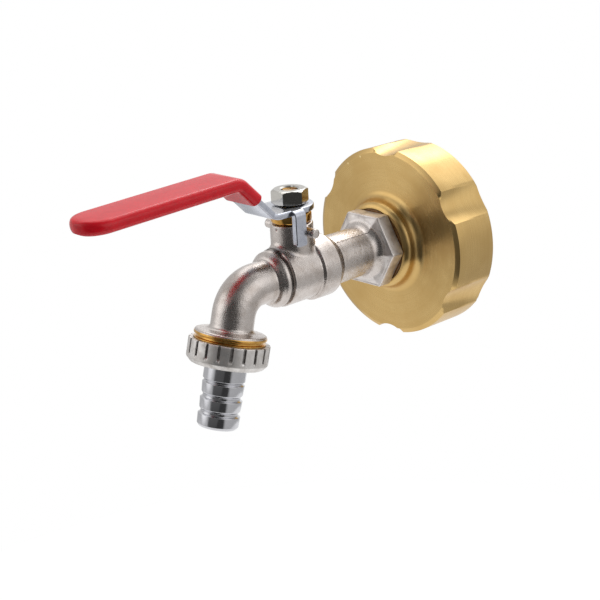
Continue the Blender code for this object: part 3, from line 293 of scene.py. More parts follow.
def make_turned_brass():
    """Bare brass with fine turning marks round the flow axis, faint tarnish and two bright nicks."""
    finish = Finish("turned_brass", BRASS_COLOUR, 1.0, 0.34)
    finish.stretch_shine("Y", 0.75)
    split = finish.put("SeparateXYZ", {"Vector": finish.place}).outputs
    flat = finish.put("CombineXYZ", {"X": split["X"], "Z": split["Z"]}).outputs["Vector"]
    radius = finish.put("VectorMath", {0: flat}, operation="LENGTH").outputs["Value"]
    across = finish.sum("SUBTRACT", radius, split["Y"])
    fine_marks = finish.marks(across, 5200.0, 3.0)
    wide_marks = finish.marks(across, 420.0, 2.0)
    tarnish = finish.noise(90.0, 5.0, Roughness=0.6)
    shade = finish.sum("ADD", finish.ramp(tarnish, 0.3, 0.7, 0.0, 0.7),
                       finish.ramp(wide_marks, 0.3, 0.7, 0.0, 0.3))
    colour = finish.tint(shade, BRASS_COLOUR, BRASS_SHADE)
    for nick in NICK_PLACES:
        middle = tuple(Vector(nick) * MM)
        off = finish.put("VectorMath", {0: finish.place, 1: middle}, operation="DISTANCE").outputs["Value"]
        colour = finish.tint(finish.ramp(off, 0.0002, 0.0006, 1.0, 0.0), colour, NICK_COLOUR)
    finish.wire(colour, "Base Color")
    rough = finish.sum("ADD", finish.ramp(fine_marks, 0.25, 0.75, 0.25, 0.32),
                       finish.ramp(tarnish, 0.3, 0.7, -0.02, 0.04))
    finish.wire(rough, "Roughness")
    turned = finish.relief(fine_marks, 0.35, 0.000012)
    finish.wire(finish.relief(finish.noise(2600.0, 2.0), 0.2, 0.000010, turned), "Normal")
    return finish.material


cap_section = rounded_profile([(0.0, CAP_RADIUS - 0.5, 0), (-0.5, CAP_RADIUS, 0.2), (-7.0, CAP_RADIUS, 0),
                               (-13.5, CAP_RADIUS, 0), (-19.9, CAP_RADIUS, 0.15), (CAP_FRONT, 36.0, 0.2),
                               (CAP_FRONT, 30.0, 0)])
cap_section += arc_profile(CAP_FRONT - BOSS_FILLET, BOSS_RADIUS + BOSS_FILLET, BOSS_FILLET, 0, -90, 12)
cap_section += arc_profile(BOSS_END + BOSS_ROUND, BOSS_RADIUS - BOSS_ROUND, BOSS_ROUND, 90, 178, 12)
cap_section += [(BOSS_END, SEAL_RECESS), (SEAL_SHELF, SEAL_RECESS), (SEAL_SHELF, CAP_BORE)]
cap_section += [(-SOCKET_DEPTH, CAP_BORE), (-SOCKET_DEPTH, SOCKET_RADIUS - 0.4)]
cap_section += [(-SOCKET_DEPTH + 0.4, SOCKET_RADIUS), (-0.8, SOCKET_RADIUS), (0.0, SOCKET_RADIUS + 0.8)]
cap_form = turned_form(FLOW_LINE, cap_section, True, cap_angles(),
                       lambda angle, radius, along: min(radius, scallop_reach(angle, along)))
socket_thread = thread_ridge(FLOW_LINE, SOCKET_RADIUS, CAP_THREAD_CREST, CAP_THREAD_PITCH,
                             -2.6, -9.0, 4.0, 1.7, 120)
tank_cap = make_piece("tank_cap_brass", [cap_form, socket_thread], make_turned_brass(), 28)
join_frame(tank_cap, "valve_body", "cap_brass", "tank_cap")


# Cap gasket: a flat ring punched from black rubber, lying loose on the socket's floor, where the rim
# of the tank's outlet presses it.
GASKET_FRONT = -14.2
GASKET_REAR = -11.2
GASKET_BORE = 22.0
GASKET_RADIUS = 30.0


def make_black_rubber():
    """Matt rubber with a fine moulded grain and a little bloom."""
    finish = Finish("black_rubber", (0.022, 0.022, 0.024), 0.0, 0.62)
    bloom = finish.noise(260.0, 4.0)
    finish.mottle(bloom, 0.35, 0.7, (0.018, 0.018, 0.020), (0.050, 0.050, 0.052))
    finish.roughen(bloom, 0.55, 0.72)
    finish.wire(finish.relief(finish.noise(3200.0, 3.0), 0.4, 0.00002), "Normal")
    return finish.material


black_rubber = make_black_rubber()
gasket_section = rounded_profile([(GASKET_FRONT, GASKET_BORE, 0.4), (GASKET_REAR, GASKET_BORE, 0.4),
                                  (GASKET_REAR, GASKET_RADIUS, 0.4), (GASKET_FRONT, GASKET_RADIUS, 0.4)],
                                 True)
cap_gasket = make_piece("cap_gasket_rubber", [turned_form(FLOW_LINE, gasket_section, True)], black_rubber)
join_frame(cap_gasket, "valve_body", "black_rubber", "cap_gasket")


# Inlet end: a nickel-plated brass casting with a machined thread at each end and a 28 mm spanner
# hexagon whose sloping front face runs into the tube. A flash line from the mould runs along the tube.
HEX_HALF_FLATS = 14.0
HEX_CORNER_ROUND = 0.7
HEX_BACK = -27.9
HEX_CORNER_PLANE = -34.0
HEX_RISE = 1.0
CAP_THREAD_RADIUS = 13.0
BODY_THREAD_RADIUS = 9.35
TUBE_RADIUS = 9.65
TUBE_FILLET = 3.3
WATERWAY = 5.5
SEAM = -53.9
INLET_TIP = -61.9
FLASH_ANGLE = math.radians(57.6)
FLASH_SWELL = -38.6
GROOVE_MIDDLE = -80.8
NICKEL_COLOUR = (0.625, 0.572, 0.539)
NICKEL_SHADE = (0.430, 0.371, 0.330)
GROOVE_PAINTED_SHADE = (0.06, 0.05, 0.045)
HEX_PAINTED_LIGHT = (0.800, 0.752, 0.725)


def make_plated_casting(name, smoothest, roughest, colour=NICKEL_COLOUR):
    """Nickel plate over a sand-cast skin: grain, shallow lumps, warm stains, pits, and painted shade that
    darkens the groove.
    """
    finish = Finish(name, colour, 1.0, smoothest)
    grain = finish.noise(2300.0, 3.0, Roughness=0.6)
    stains = finish.noise(130.0, 5.0, Roughness=0.65)
    pits = finish.put("TexVoronoi", {"Vector": finish.place, "Scale": 620.0, "Randomness": 1.0})
    pit_mask = finish.ramp(pits.outputs["Distance"], 0.02, 0.16, 1.0, 0.0)
    dark = finish.sum("MAXIMUM", finish.ramp(stains, 0.45, 0.74), pit_mask)
    along = finish.put("SeparateXYZ", {"Vector": finish.place}).outputs["Y"]
    # Painted shade: the colour goes near black in a narrow band along the groove between chamber and bead.
    off_groove = finish.sum("ABSOLUTE", finish.sum("ADD", along, -GROOVE_MIDDLE * MM))
    groove_shade = finish.ramp(off_groove, 0.0004, 0.0008, 0.85, 0.0)
    finish.wire(finish.tint(groove_shade, finish.tint(dark, colour, NICKEL_SHADE), GROOVE_PAINTED_SHADE), "Base Color")
    finish.roughen(grain, smoothest, roughest)
    lumps = finish.relief(finish.noise(480.0, 3.0), 0.5, 0.00012)
    finish.wire(finish.relief(grain, 0.9, 0.00008, lumps), "Normal")
    return finish.material


def hexagon_side(half_flats, corner_round, first_flat=math.pi / 2):
    """Distance to a hexagon's side with rounded corners, along an angle."""
    centre = (half_flats - corner_round) / math.cos(math.pi / 6)
    meet = math.atan2(corner_round / 2, centre + corner_round * math.cos(math.pi / 6))

    def side(angle):
        turn = (angle - first_flat + math.pi / 6) % (math.pi / 3) - math.pi / 6
        from_corner = math.pi / 6 - abs(turn)
        if from_corner >= meet:
            return half_flats / math.cos(turn)
        return centre * math.cos(from_corner) + math.sqrt(
            corner_round ** 2 - (centre * math.sin(from_corner)) ** 2)
    return side


def hexagon_angles(per_side=18):
    """Angles round a hexagon, closer together at its corners."""
    angles = []
    for corner in range(6):
        for k in range(per_side):
            share = k / per_side - 0.5
            eased = 0.5 + share * (0.35 + 2.6 * share * share)
            angles.append(math.pi / 3 * (corner + eased + 0.5))
    return angles


def make_inlet_end_form():
    """Rings from the cap thread, over the hexagon and its sloping face, to the body thread, and bored."""
    flow = [np.array(v, float) for v in FLOW_LINE]
    angles = hexagon_angles()
    rings = []

    def ring(size):
        rings.append([flow[1] * size(a)[0] + (flow[2] * math.cos(a) + flow[3] * math.sin(a)) * size(a)[1]
                      for a in angles])

    def round_rings(places):
        for along, radius in places:
            ring(lambda a: (along, radius))

    round_rings([(-14.8, WATERWAY), (-14.8, CAP_THREAD_RADIUS - 0.6), (-15.4, CAP_THREAD_RADIUS),
                 (HEX_BACK, CAP_THREAD_RADIUS)])
    for along, inset in ((HEX_BACK, 0.55), (HEX_BACK - 0.15, 0.18), (HEX_BACK - 0.55, 0.0),
                         (HEX_CORNER_PLANE + 0.6, 0.0), (HEX_CORNER_PLANE + 0.3, 0.05),
                         (HEX_CORNER_PLANE + 0.09, 0.19), (HEX_CORNER_PLANE, 0.45),
                         (HEX_CORNER_PLANE + 0.2, 0.6), (HEX_CORNER_PLANE + 0.2, 0.78)):
        side = hexagon_side(HEX_HALF_FLATS - inset, HEX_CORNER_ROUND)
        ring(lambda a: (along, side(a)))
    side = hexagon_side(HEX_HALF_FLATS - 0.45, HEX_CORNER_ROUND)
    foot = TUBE_RADIUS + TUBE_FILLET
    corner = side(0.0)
    tube_start = HEX_CORNER_PLANE - HEX_RISE - TUBE_FILLET
    for k in range(13):
        turn = math.pi / 2 * k / 12

        def blend(a):
            rise = HEX_RISE * (side(a) - foot) / (corner - foot)
            face = HEX_CORNER_PLANE - rise
            return tube_start + (face - tube_start) * math.cos(turn), foot - TUBE_FILLET * math.sin(turn)
        ring(blend)
    round_rings([(SEAM + 0.3, TUBE_RADIUS), (SEAM + 0.16, TUBE_RADIUS - 0.15),
                 (SEAM + 0.12, BODY_THREAD_RADIUS), (INLET_TIP + 0.6, BODY_THREAD_RADIUS),
                 (INLET_TIP, BODY_THREAD_RADIUS - 0.55), (INLET_TIP, WATERWAY)])
    return [p for one in rings for p in one], grid_faces(len(rings), len(angles), True)


def make_flash_line(count=64):
    """Thin uneven ridge left along the tube by the mould's parting."""
    points = []
    for k in range(count + 1):
        along = SEAM + 1.0 + (HEX_CORNER_PLANE - HEX_RISE - 1.2 - SEAM - 1.0) * k / count
        angle = FLASH_ANGLE + 0.012 * math.sin(0.9 * k) + 0.008 * math.sin(2.3 * k + 1.0)
        height = 0.28 + 0.07 * math.sin(1.7 * k) + 0.04 * math.sin(0.6 * k + 2.0)
        swell = max(0.0, (along - FLASH_SWELL) / 2.4)
        base = TUBE_RADIUS + min(1.0, swell) ** 2 * 1.1
        for offset, radius in ((-0.022, base - 0.25), (-0.010, base + height), (0.008, base + height * 0.8),
                               (0.020, base - 0.25)):
            points.append((radius * math.cos(angle + offset), along, radius * math.sin(angle + offset)))
    return points, grid_faces(count + 1, 4, False)


plated_casting = make_plated_casting("plated_casting", 0.20, 0.32)
inlet_end = make_piece("inlet_end_casting", [make_inlet_end_form(), make_flash_line()], plated_casting, 40)
join_frame(inlet_end, "valve_body", "cast_nickel", "inlet_end")
# Painted light: the hexagon's flats and sloping face take a lighter copy of the nickel plate.
inlet_end.data.materials.append(make_plated_casting("spanner_flats_painted_light", 0.40, 0.55, HEX_PAINTED_LIGHT))
for face in inlet_end.data.polygons:
    along = face.center.y / MM
    out = math.hypot(face.center.x, face.center.z) / MM
    flat = HEX_CORNER_PLANE + 0.5 < along < HEX_BACK and out > 13.3
    slope = HEX_CORNER_PLANE - HEX_RISE - 0.3 < along < HEX_CORNER_PLANE + 0.3 and out > 11.6
    if flat or slope:
        face.material_index = 1


# Inlet seal and hidden rings: a square ring squeezed between the hexagon and the cap's boss so that its
# edge shows, coloured dark brown as painted shade for the brass of the boss in shadow, and moulded
# rubber rings out of sight in their grooves.
def make_fibre_painted_shade():
    """Dark brown painted shade for brass in shadow, in a fibre finish with patches of gloss."""
    finish = Finish("fibre_painted_shade", (0.300, 0.140, 0.035), 0.0, 0.35)
    felt = finish.noise(900.0, 4.0)
    finish.mottle(felt, 0.35, 0.65, (0.340, 0.160, 0.040), (0.180, 0.075, 0.020))
    finish.roughen(felt, 0.28, 0.45)
    finish.wire(finish.relief(felt, 0.3, 0.00003), "Normal")
    return finish.material


def coat_nodes(material, *names):
    """Give one material to nodes of the frame that are shown as they are."""
    for name in names:
        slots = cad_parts[name].data.materials
        slots.clear()
        slots.append(material)


coat_nodes(make_fibre_painted_shade(), "inlet_seal")
coat_nodes(black_rubber, "body_joint_ring", "stem_o_ring", "tail_washer")


# Valve body: one nickel-plated brass casting with the ball's chamber, the upright neck with its two
# stop lugs, the collar and the swan-neck spout down to its flange, bored and tapped after casting.
BALL_Y = -70.825
UPRIGHT = (Vector((0, 0, 1)), Vector((1, 0, 0)), Vector((0, 1, 0)))
STEM_LINE = (Vector((0, BALL_Y, 0)), *UPRIGHT)
CHAMBER_RADIUS = 11.2
END_RADIUS = 12.3
NECK_RADIUS = 8.1
NECK_TOP = 19.6
NECK_FILLET = 2.6
NECK_SINK = 1.2
NECK_FOOT = 4.5
FILLET_STEPS = 8
SHOULDER = -85.55
ELBOW_RADIUS = 8.0
ELBOW_BEND = 11.5
ELBOW_RUN = 4.7
SPOUT_LEAN = math.radians(16)
SPOUT_LENGTH = 7.7
FLANGE_RADIUS = 13.4
FLANGE_EDGE = 1.3
FLANGE_ROUND = 0.9
FLARE_RADIUS = 1.6
FLARE_TURN = math.radians(82)
MOUTH_BORE = 9.65
SEAT_BORE = 9.0
GROOVE_FLOOR = 9.8
BEAD_RADIUS = 10.8
COLLAR_BORE = 5.5
STEM_BORE = 4.2
PACKING_BORE = 6.2
LUG_HEIGHT = 17.0
LUG_ROOT = 7.2
LUG_FACE = 13.45
LUG_RADIUS = 2.0
PIT_PLACE = (0.75, -79.0, 18.4)
CASTING_VOXEL = 0.34
TURN = math.pi / 2 - SPOUT_LEAN
CORNER_Y = SHOULDER - ELBOW_RUN - ELBOW_BEND * math.tan(TURN / 2)
DOWN_SPOUT = Vector((0, -math.sin(SPOUT_LEAN), -math.cos(SPOUT_LEAN)))
SPOUT_LINE = (Vector((0, CORNER_Y, 0)), DOWN_SPOUT, Vector((1, 0, 0)), DOWN_SPOUT.cross(Vector((1, 0, 0))))
FLANGE = ELBOW_BEND * math.tan(TURN / 2) + SPOUT_LENGTH


def spout_place(distance):
    """Place and direction at a distance from the shoulder along the middle of the spout."""
    bend = ELBOW_BEND * TURN
    if distance <= ELBOW_RUN:
        return np.array((0, SHOULDER - distance, 0)), np.array((0, -1.0, 0))
    if distance <= ELBOW_RUN + bend:
        turn = (distance - ELBOW_RUN) / ELBOW_BEND
        place = np.array((0, SHOULDER - ELBOW_RUN - ELBOW_BEND * math.sin(turn),
                          -ELBOW_BEND * (1 - math.cos(turn))))
        return place, np.array((0, -math.cos(turn), -math.sin(turn)))
    along = ELBOW_BEND * math.tan(TURN / 2) + distance - ELBOW_RUN - bend
    return np.array(SPOUT_LINE[0] + DOWN_SPOUT * along), np.array(DOWN_SPOUT)


def spout_form(stations, count=72):
    """Round form along the spout from (distance, radius) stations."""
    across = np.array((1.0, 0, 0))
    points = []
    for distance, radius in stations:
        place, forward = spout_place(distance)
        up = np.cross(forward, across)
        for k in range(count):
            angle = 2 * math.pi * k / count
            points.append(place + (across * math.cos(angle) + up * math.sin(angle)) * radius)
    return points, grid_faces(len(stations), count, False)


def neck_form(count=96):
    """Neck with the rolling fillet where it runs down on to the chamber."""
    points = []
    for radius, height in ((NECK_RADIUS - 0.3, NECK_TOP), (NECK_RADIUS, NECK_TOP - 0.3)):
        for k in range(count):
            angle = 2 * math.pi * k / count
            points.append((radius * math.cos(angle), BALL_Y + radius * math.sin(angle), height))
    for step in range(FILLET_STEPS + 2):
        for k in range(count):
            angle = 2 * math.pi * k / count
            outward = Vector((math.cos(angle), math.sin(angle), 0))
            centre = outward * (NECK_RADIUS + NECK_FILLET)
            centre.z = math.sqrt((CHAMBER_RADIUS + NECK_FILLET) ** 2 - centre.x ** 2)
            to_chamber = Vector((-centre.x, 0, -centre.z)).normalized()
            if step <= FILLET_STEPS:
                point = centre + (-outward).slerp(to_chamber, step / FILLET_STEPS) * NECK_FILLET
            else:
                point = centre + to_chamber * (NECK_FILLET + NECK_SINK)
            points.append((point.x, point.y + BALL_Y, point.z))
    points += [(x / 2, (y + BALL_Y) / 2, NECK_FOOT) for x, y, _ in points[-count:]]
    return points, grid_faces(len(points) // count, count, False)


def settle(piece):
    """Turn a piece's modifiers into its mesh."""
    bpy.context.view_layer.update()
    solid = bpy.data.meshes.new_from_object(piece.evaluated_get(bpy.context.evaluated_depsgraph_get()))
    piece.modifiers.clear()
    piece.data = solid


def fused(name, forms, cutters):
    """Forms fused into one solid, then bored by the cutters."""
    base = make_piece(name, forms[:1])
    tools = []
    for kind, group in (("UNION", forms[1:]), ("DIFFERENCE", cutters)):
        for form in group:
            tool = make_piece(name + "_tool", [form])
            modifier = base.modifiers.new(kind, "BOOLEAN")
            modifier.operation = kind
            modifier.solver = "EXACT"
            modifier.object = tool
            tools.append(tool)
    settle(base)
    for tool in tools:
        bpy.data.objects.remove(tool, do_unlink=True)
    return base


def dress(piece, material, sharp=None):
    """Smooth a fused piece apart from edges over sharp degrees, and give it its one material."""
    piece.data.shade_smooth()
    if sharp:
        piece.data.set_sharp_from_angle(angle=math.radians(sharp))
    piece.data.materials.clear()
    piece.data.materials.append(material)


chamber_section = rounded_profile([(SEAM, 9.85, 0), (SEAM - 3.6, END_RADIUS, 0.8),
                                   (BALL_Y + 5.2, END_RADIUS, 0.35), (BALL_Y + 4.9, CHAMBER_RADIUS, 0.3),
                                   (GROOVE_MIDDLE + 0.9, CHAMBER_RADIUS, 0.2),
                                   (GROOVE_MIDDLE + 0.4, GROOVE_FLOOR, 0.2),
                                   (GROOVE_MIDDLE - 0.4, GROOVE_FLOOR, 0.2), (-81.6, BEAD_RADIUS, 0.4),
                                   (-83.0, BEAD_RADIUS - 0.15, 0.9), (-84.7, 9.4, 1.2),
                                   (SHOULDER - 0.2, 7.8, 0)])
flange_at = ELBOW_RUN + ELBOW_BEND * TURN + SPOUT_LENGTH
flare_start = flange_at - 3.3
spout_stations = [(-3.0, ELBOW_RADIUS), (0.0, ELBOW_RADIUS), (ELBOW_RUN / 2, ELBOW_RADIUS)]
spout_stations += [(ELBOW_RUN + ELBOW_BEND * TURN * k / 24, ELBOW_RADIUS) for k in range(25)]
spout_stations += [(flare_start + FLARE_RADIUS * math.sin(FLARE_TURN * k / 8),
                    ELBOW_RADIUS + FLARE_RADIUS * (1 - math.cos(FLARE_TURN * k / 8))) for k in range(9)]
spout_stations += arc_profile(flange_at - FLANGE_EDGE + FLANGE_ROUND, FLANGE_RADIUS - FLANGE_ROUND,
                              FLANGE_ROUND, 180, 90, 6)
spout_stations += [(flange_at + 0.3, FLANGE_RADIUS)]
spout_bore = [(-7.8, WATERWAY)]
spout_bore += [(ELBOW_RUN + ELBOW_BEND * TURN * k / 16, WATERWAY) for k in range(17)]
spout_bore += [(flange_at + 2.0, WATERWAY)]
lug_line = (Vector((0, BALL_Y, LUG_HEIGHT)), Vector((1, 0, 0)), Vector((0, 1, 0)), Vector((0, 0, 1)))
lug_forms = []
for side in (-1, 1):
    lug_profile = rounded_profile([(side * LUG_ROOT, LUG_RADIUS, 0),
                                   (side * (LUG_FACE - 0.05), LUG_RADIUS - 0.15, 0.35),
                                   (side * LUG_FACE, 0.2, 0)])
    lug_forms.append(turned_form(lug_line, lug_profile, False, 40))
chamber_bore = [(SEAM + 1.0, MOUTH_BORE), (INLET_TIP - 0.3, MOUTH_BORE), (INLET_TIP - 0.3, SEAT_BORE),
                (-79.75, SEAT_BORE)]
neck_bore = [(2.0, COLLAR_BORE), (11.7, COLLAR_BORE), (11.7, STEM_BORE), (15.1, STEM_BORE),
             (15.1, PACKING_BORE), (NECK_TOP + 1, PACKING_BORE)]
pit_profile = [(-1.0, 0.1), (-0.5, 0.5), (0.2, 0.6), (0.7, 0.1)]
casting_pit = turned_form((Vector(PIT_PLACE), *UPRIGHT), pit_profile, False, 12)
body_casting = fused("body_casting_plated",
                     [turned_form(FLOW_LINE, chamber_section, False, 96), neck_form(), *lug_forms,
                      spout_form(spout_stations)],
                     [turned_form(FLOW_LINE, chamber_bore, False, 64),
                      turned_form(STEM_LINE, neck_bore, False, 48), spout_form(spout_bore, 48), casting_pit])
skin_modifier = body_casting.modifiers.new("cast_skin", "REMESH")
skin_modifier.mode = "VOXEL"
skin_modifier.voxel_size = CASTING_VOXEL * MM
smooth_modifier = body_casting.modifiers.new("cast_softness", "SMOOTH")
smooth_modifier.factor = 0.5
smooth_modifier.iterations = 2
settle(body_casting)
dress(body_casting, plated_casting)
join_frame(body_casting, "valve_body", "cast_nickel", "body_casting")


# Spigot: the threaded end of the spout, machined through the plating to bare brass. A groove under
# the flange shows between the flange and the union nut.
SPIGOT_THREAD_ROOT = 12.75
SPIGOT_THREAD_CREST = 13.05
SPIGOT_THREAD_PITCH = 1.8
FRESH_BRASS = (0.700, 0.405, 0.110)
FRESH_BRASS_SHADE = (0.520, 0.270, 0.060)


def make_bright_brass(name, roughness):
    """Freshly turned brass with fine rings round the upright axis."""
    finish = Finish(name, FRESH_BRASS, 1.0, roughness)
    finish.stretch_shine("Z", 0.5)
    height = finish.put("SeparateXYZ", {"Vector": finish.place}).outputs["Z"]
    marks = finish.marks(height, 5000.0, 3.0)
    finish.mottle(finish.noise(420.0, 4.0), 0.35, 0.7, FRESH_BRASS, FRESH_BRASS_SHADE)
    finish.wire(finish.ramp(marks, 0.25, 0.75, roughness - 0.05, roughness + 0.06), "Roughness")
    finish.wire(finish.relief(marks, 0.3, 0.00001), "Normal")
    return finish.material


spigot_steps = [(-0.5, 12.9, 0), (-0.5, 13.42, 0.1), (-0.2, 13.52, 0.1), (0.4, 13.52, 0.15),
                (0.65, 12.4, 0.2), (1.5, 12.4, 0.2), (1.75, 13.3, 0.1), (2.15, 13.3, 0.1),
                (2.3, SPIGOT_THREAD_ROOT, 0), (5.3, SPIGOT_THREAD_ROOT, 0), (5.6, 12.5, 0), (5.6, 7.5, 0),
                (0.3, 7.5, 0), (0.3, 12.9, 0)]
spigot_section = rounded_profile([(FLANGE + step, *rest) for step, *rest in spigot_steps], True, 3)
spigot_thread = thread_ridge(SPOUT_LINE, SPIGOT_THREAD_ROOT, SPIGOT_THREAD_CREST, SPIGOT_THREAD_PITCH,
                             FLANGE + 2.6, FLANGE + 4.9, 1.5, 0.4)
spigot = make_piece("spigot_brass_thread", [turned_form(SPOUT_LINE, spigot_section, True), spigot_thread],
                    make_bright_brass("spigot_brass", 0.22))
join_frame(spigot, "valve_body", "turned_brass")


# Seats, ball and washers: white sealing-plastic rings round a hard-plated ball, all out of sight
# inside the body apart from what shows down the bore.
BALL_RADIUS = 8.5
PORT_RADIUS = 5.0
BALL_CHROME = (0.62, 0.62, 0.64)


def make_seal_plastic():
    """Waxy white sealing plastic with faint clouds."""
    finish = Finish("seal_plastic", (0.80, 0.80, 0.78), 0.0, 0.42)
    cloud = finish.noise(300.0, 3.0)
    finish.wire(finish.tint(cloud, (0.84, 0.84, 0.82), (0.74, 0.74, 0.71)), "Base Color")
    finish.roughen(cloud, 0.36, 0.5)
    return finish.material


def make_polished_chrome(name, colour, roughness):
    """Bright plate on a turned surface, with the faintest haze and ripple."""
    finish = Finish(name, colour, 1.0, roughness)
    haze = finish.noise(700.0, 4.0)
    finish.roughen(haze, roughness * 0.75, roughness * 1.35)
    finish.wire(finish.tint(haze, colour, tuple(c * 0.9 for c in colour)), "Base Color")
    finish.wire(finish.relief(finish.noise(260.0, 2.0), 0.25, 0.00002), "Normal")
    return finish.material


def box_form(widths, depths, heights):
    """Box between two places on each axis, with its depths measured from the stem's middle."""
    points = [(x, BALL_Y + y, z) for x in widths for y in depths for z in heights]
    return points, [(0, 1, 3, 2), (4, 6, 7, 5), (0, 4, 5, 1), (2, 3, 7, 6), (0, 2, 6, 4), (1, 5, 7, 3)]


coat_nodes(make_seal_plastic(), "ball_seat_inlet", "ball_seat_outlet", "stem_thrust_washer", "stem_packing")
ball_profile = [(BALL_RADIUS * math.cos(math.pi * k / 48), BALL_RADIUS * math.sin(math.pi * k / 48))
                for k in range(1, 48)]
port_form = turned_form(FLOW_LINE, [(BALL_Y - 10, PORT_RADIUS), (BALL_Y + 10, PORT_RADIUS)], False, 64)
tang_slot = box_form((-10, 10), (-1.6, 1.6), (6.1, 10))
ball = fused("ball_plated", [turned_form(STEM_LINE, ball_profile, False, 96)], [port_form, tang_slot])
dress(ball, make_polished_chrome("ball_chrome", BALL_CHROME, 0.08), 35)
join_frame(ball, "ball", "bright_chrome", "ball")


# Gland nut and stem: turned brass. The gland's head is the bare ring under the lever, and the stem's
# threaded stud ends just below the top of the handle nut.
GLAND_TOP = 23.7
GLAND_HEAD = 7.7
STEM_RADIUS = 3.9
STUD_ROOT = 2.75
STUD_CREST = 2.95

gland_brass = make_bright_brass("gland_brass", 0.14)
gland_section = rounded_profile([(17.4, 4.2, 0), (GLAND_TOP, 4.2, 0.2), (GLAND_TOP, GLAND_HEAD, 0.9),
                                 (19.9, GLAND_HEAD, 0.9), (19.9, 5.9, 0), (17.4, 5.9, 0)], True)
gland_nut = fused("gland_nut_brass", [turned_form(STEM_LINE, gland_section, True, 96)],
                  [box_form((-10, 10), (-0.7, 0.7), (22.6, 25))])
dress(gland_nut, gland_brass, 35)
join_frame(gland_nut, "valve_body", "turned_brass", "gland_nut")

stem_section = rounded_profile([(6.4, 3.6, 0), (9.1, 3.6, 0), (9.1, 5.2, 0.2), (10.5, 5.2, 0.2),
                                (10.5, STEM_RADIUS, 0), (12.5, STEM_RADIUS, 0), (12.5, 2.4, 0),
                                (14.3, 2.4, 0), (14.3, STEM_RADIUS, 0), (26.3, STEM_RADIUS, 0),
                                (26.3, STUD_ROOT, 0), (31.4, STUD_ROOT, 0.3), (31.7, 2.2, 0), (31.5, 0.3, 0)])
flat_cutters = []
for side in (-1, 1):
    flat_cutters.append(box_form((-9, 9), sorted((side * 1.3, side * 9.0)), (0, 9.1)))
    flat_cutters.append(box_form(sorted((side * 2.9, side * 9.0)), (-9, 9), (24.0, 26.6)))
stem = fused("stem_turned_brass", [turned_form(STEM_LINE, stem_section, False, 64)], flat_cutters)
dress(stem, gland_brass, 35)
join_frame(stem, "lever", "turned_brass", "stem")
stud_ridge = thread_ridge(STEM_LINE, STUD_ROOT, STUD_CREST, 1.0, 26.6, 31.3, 0.8, 0.2, 40)
stud_thread = make_piece("stud_thread_brass", [stud_ridge], gland_brass)
join_frame(stud_thread, "lever", "turned_brass")


# Lever plate: pressed from 2.3 mm steel strip, zinc-plated with a cold blue tint and cranked up to
# clear the hand. Two tabs are bent down at its root to meet the body's stop lug.
PLATE_UNDER = 24.3
PLATE_THICK = 2.3
PLATE_HALF_WIDTH = 8.7
PLATE_EDGE = 0.5
PLATE_MIDDLE = PLATE_UNDER + PLATE_THICK / 2
SHANK_HALF_WIDTH = 7.9
LEVER_REACH = 93.4
CRANK_START = 14.1
CRANK_ANGLE = math.radians(45)
CRANK_RISE = 15.2
GRIP_FALL = math.radians(2.3)
GRIP_WALL = 1.1
POCKET_GAP = 0.3
TAB_FOOT = 13.1
TAB_BEND = 2.5
TAB_NEAR = 2.2
TAB_FAR = 7.4
TAB_EDGE = 0.25
HOLE_RADIUS = 4.2
HOLE_HALF_FLATS = 3.2
PLATE_COLOUR = (0.560, 0.580, 0.640)


def lever_bends(lower=3.6, upper=4.6, steps=12):
    """(y, z, slope) along the plate's middle through the lower and the upper bend."""
    first = lower * math.tan(CRANK_ANGLE / 2)
    turn = CRANK_ANGLE + GRIP_FALL
    second = upper * math.tan(turn / 2)
    top_y = -CRANK_START - CRANK_RISE / math.tan(CRANK_ANGLE)
    line = []
    for k in range(steps + 1):
        slope = CRANK_ANGLE * k / steps
        line.append((-CRANK_START + first - lower * math.sin(slope),
                     PLATE_MIDDLE + lower * (1 - math.cos(slope)), slope))
    hub_y = top_y + second * math.cos(CRANK_ANGLE) - upper * math.sin(CRANK_ANGLE)
    hub_z = PLATE_MIDDLE + CRANK_RISE - second * math.sin(CRANK_ANGLE) - upper * math.cos(CRANK_ANGLE)
    for k in range(steps + 1):
        slope = CRANK_ANGLE - turn * k / steps
        line.append((hub_y + upper * math.sin(slope), hub_z + upper * math.cos(slope), slope))
    return line


def on_crank(distance):
    """Point up the straight crank from its lower corner."""
    return (-CRANK_START - distance * math.cos(CRANK_ANGLE),
            PLATE_MIDDLE + distance * math.sin(CRANK_ANGLE), CRANK_ANGLE)


def on_grip(reach):
    """Point on the falling grip at a distance in front of the stem."""
    y, z, _ = lever_bends()[-1]
    return -reach, z - (reach + y) * math.tan(GRIP_FALL), -GRIP_FALL


def lever_ring(point, half_width, half_height, edge, steps=4):
    """Soft-cornered oblong square to the lever's line."""
    y, z, slope = point
    along = Vector((0, -math.cos(slope), math.sin(slope)))
    up = along.cross(Vector((1, 0, 0)))
    up = up if up.z > 0 else -up
    place = Vector((0, BALL_Y + y, z))
    edge = min(edge, half_width * 0.98, half_height * 0.98)
    ring = []
    for quarter, (side, rise) in enumerate(((1, 1), (-1, 1), (-1, -1), (1, -1))):
        for k in range(steps + 1):
            turn = math.pi / 2 * (quarter + k / steps)
            right = side * (half_width - edge) + edge * math.cos(turn)
            lift = rise * (half_height - edge) + edge * math.sin(turn)
            ring.append(place + Vector((1, 0, 0)) * right + up * lift)
    return ring


def ring_form(rings):
    """Form from a list of rings."""
    return [p for ring in rings for p in ring], grid_faces(len(rings), len(rings[0]), False)


def plate_ring(point, half_width):
    """Cross-section of the pressed strip."""
    return lever_ring(point, half_width, PLATE_THICK / 2, PLATE_EDGE)


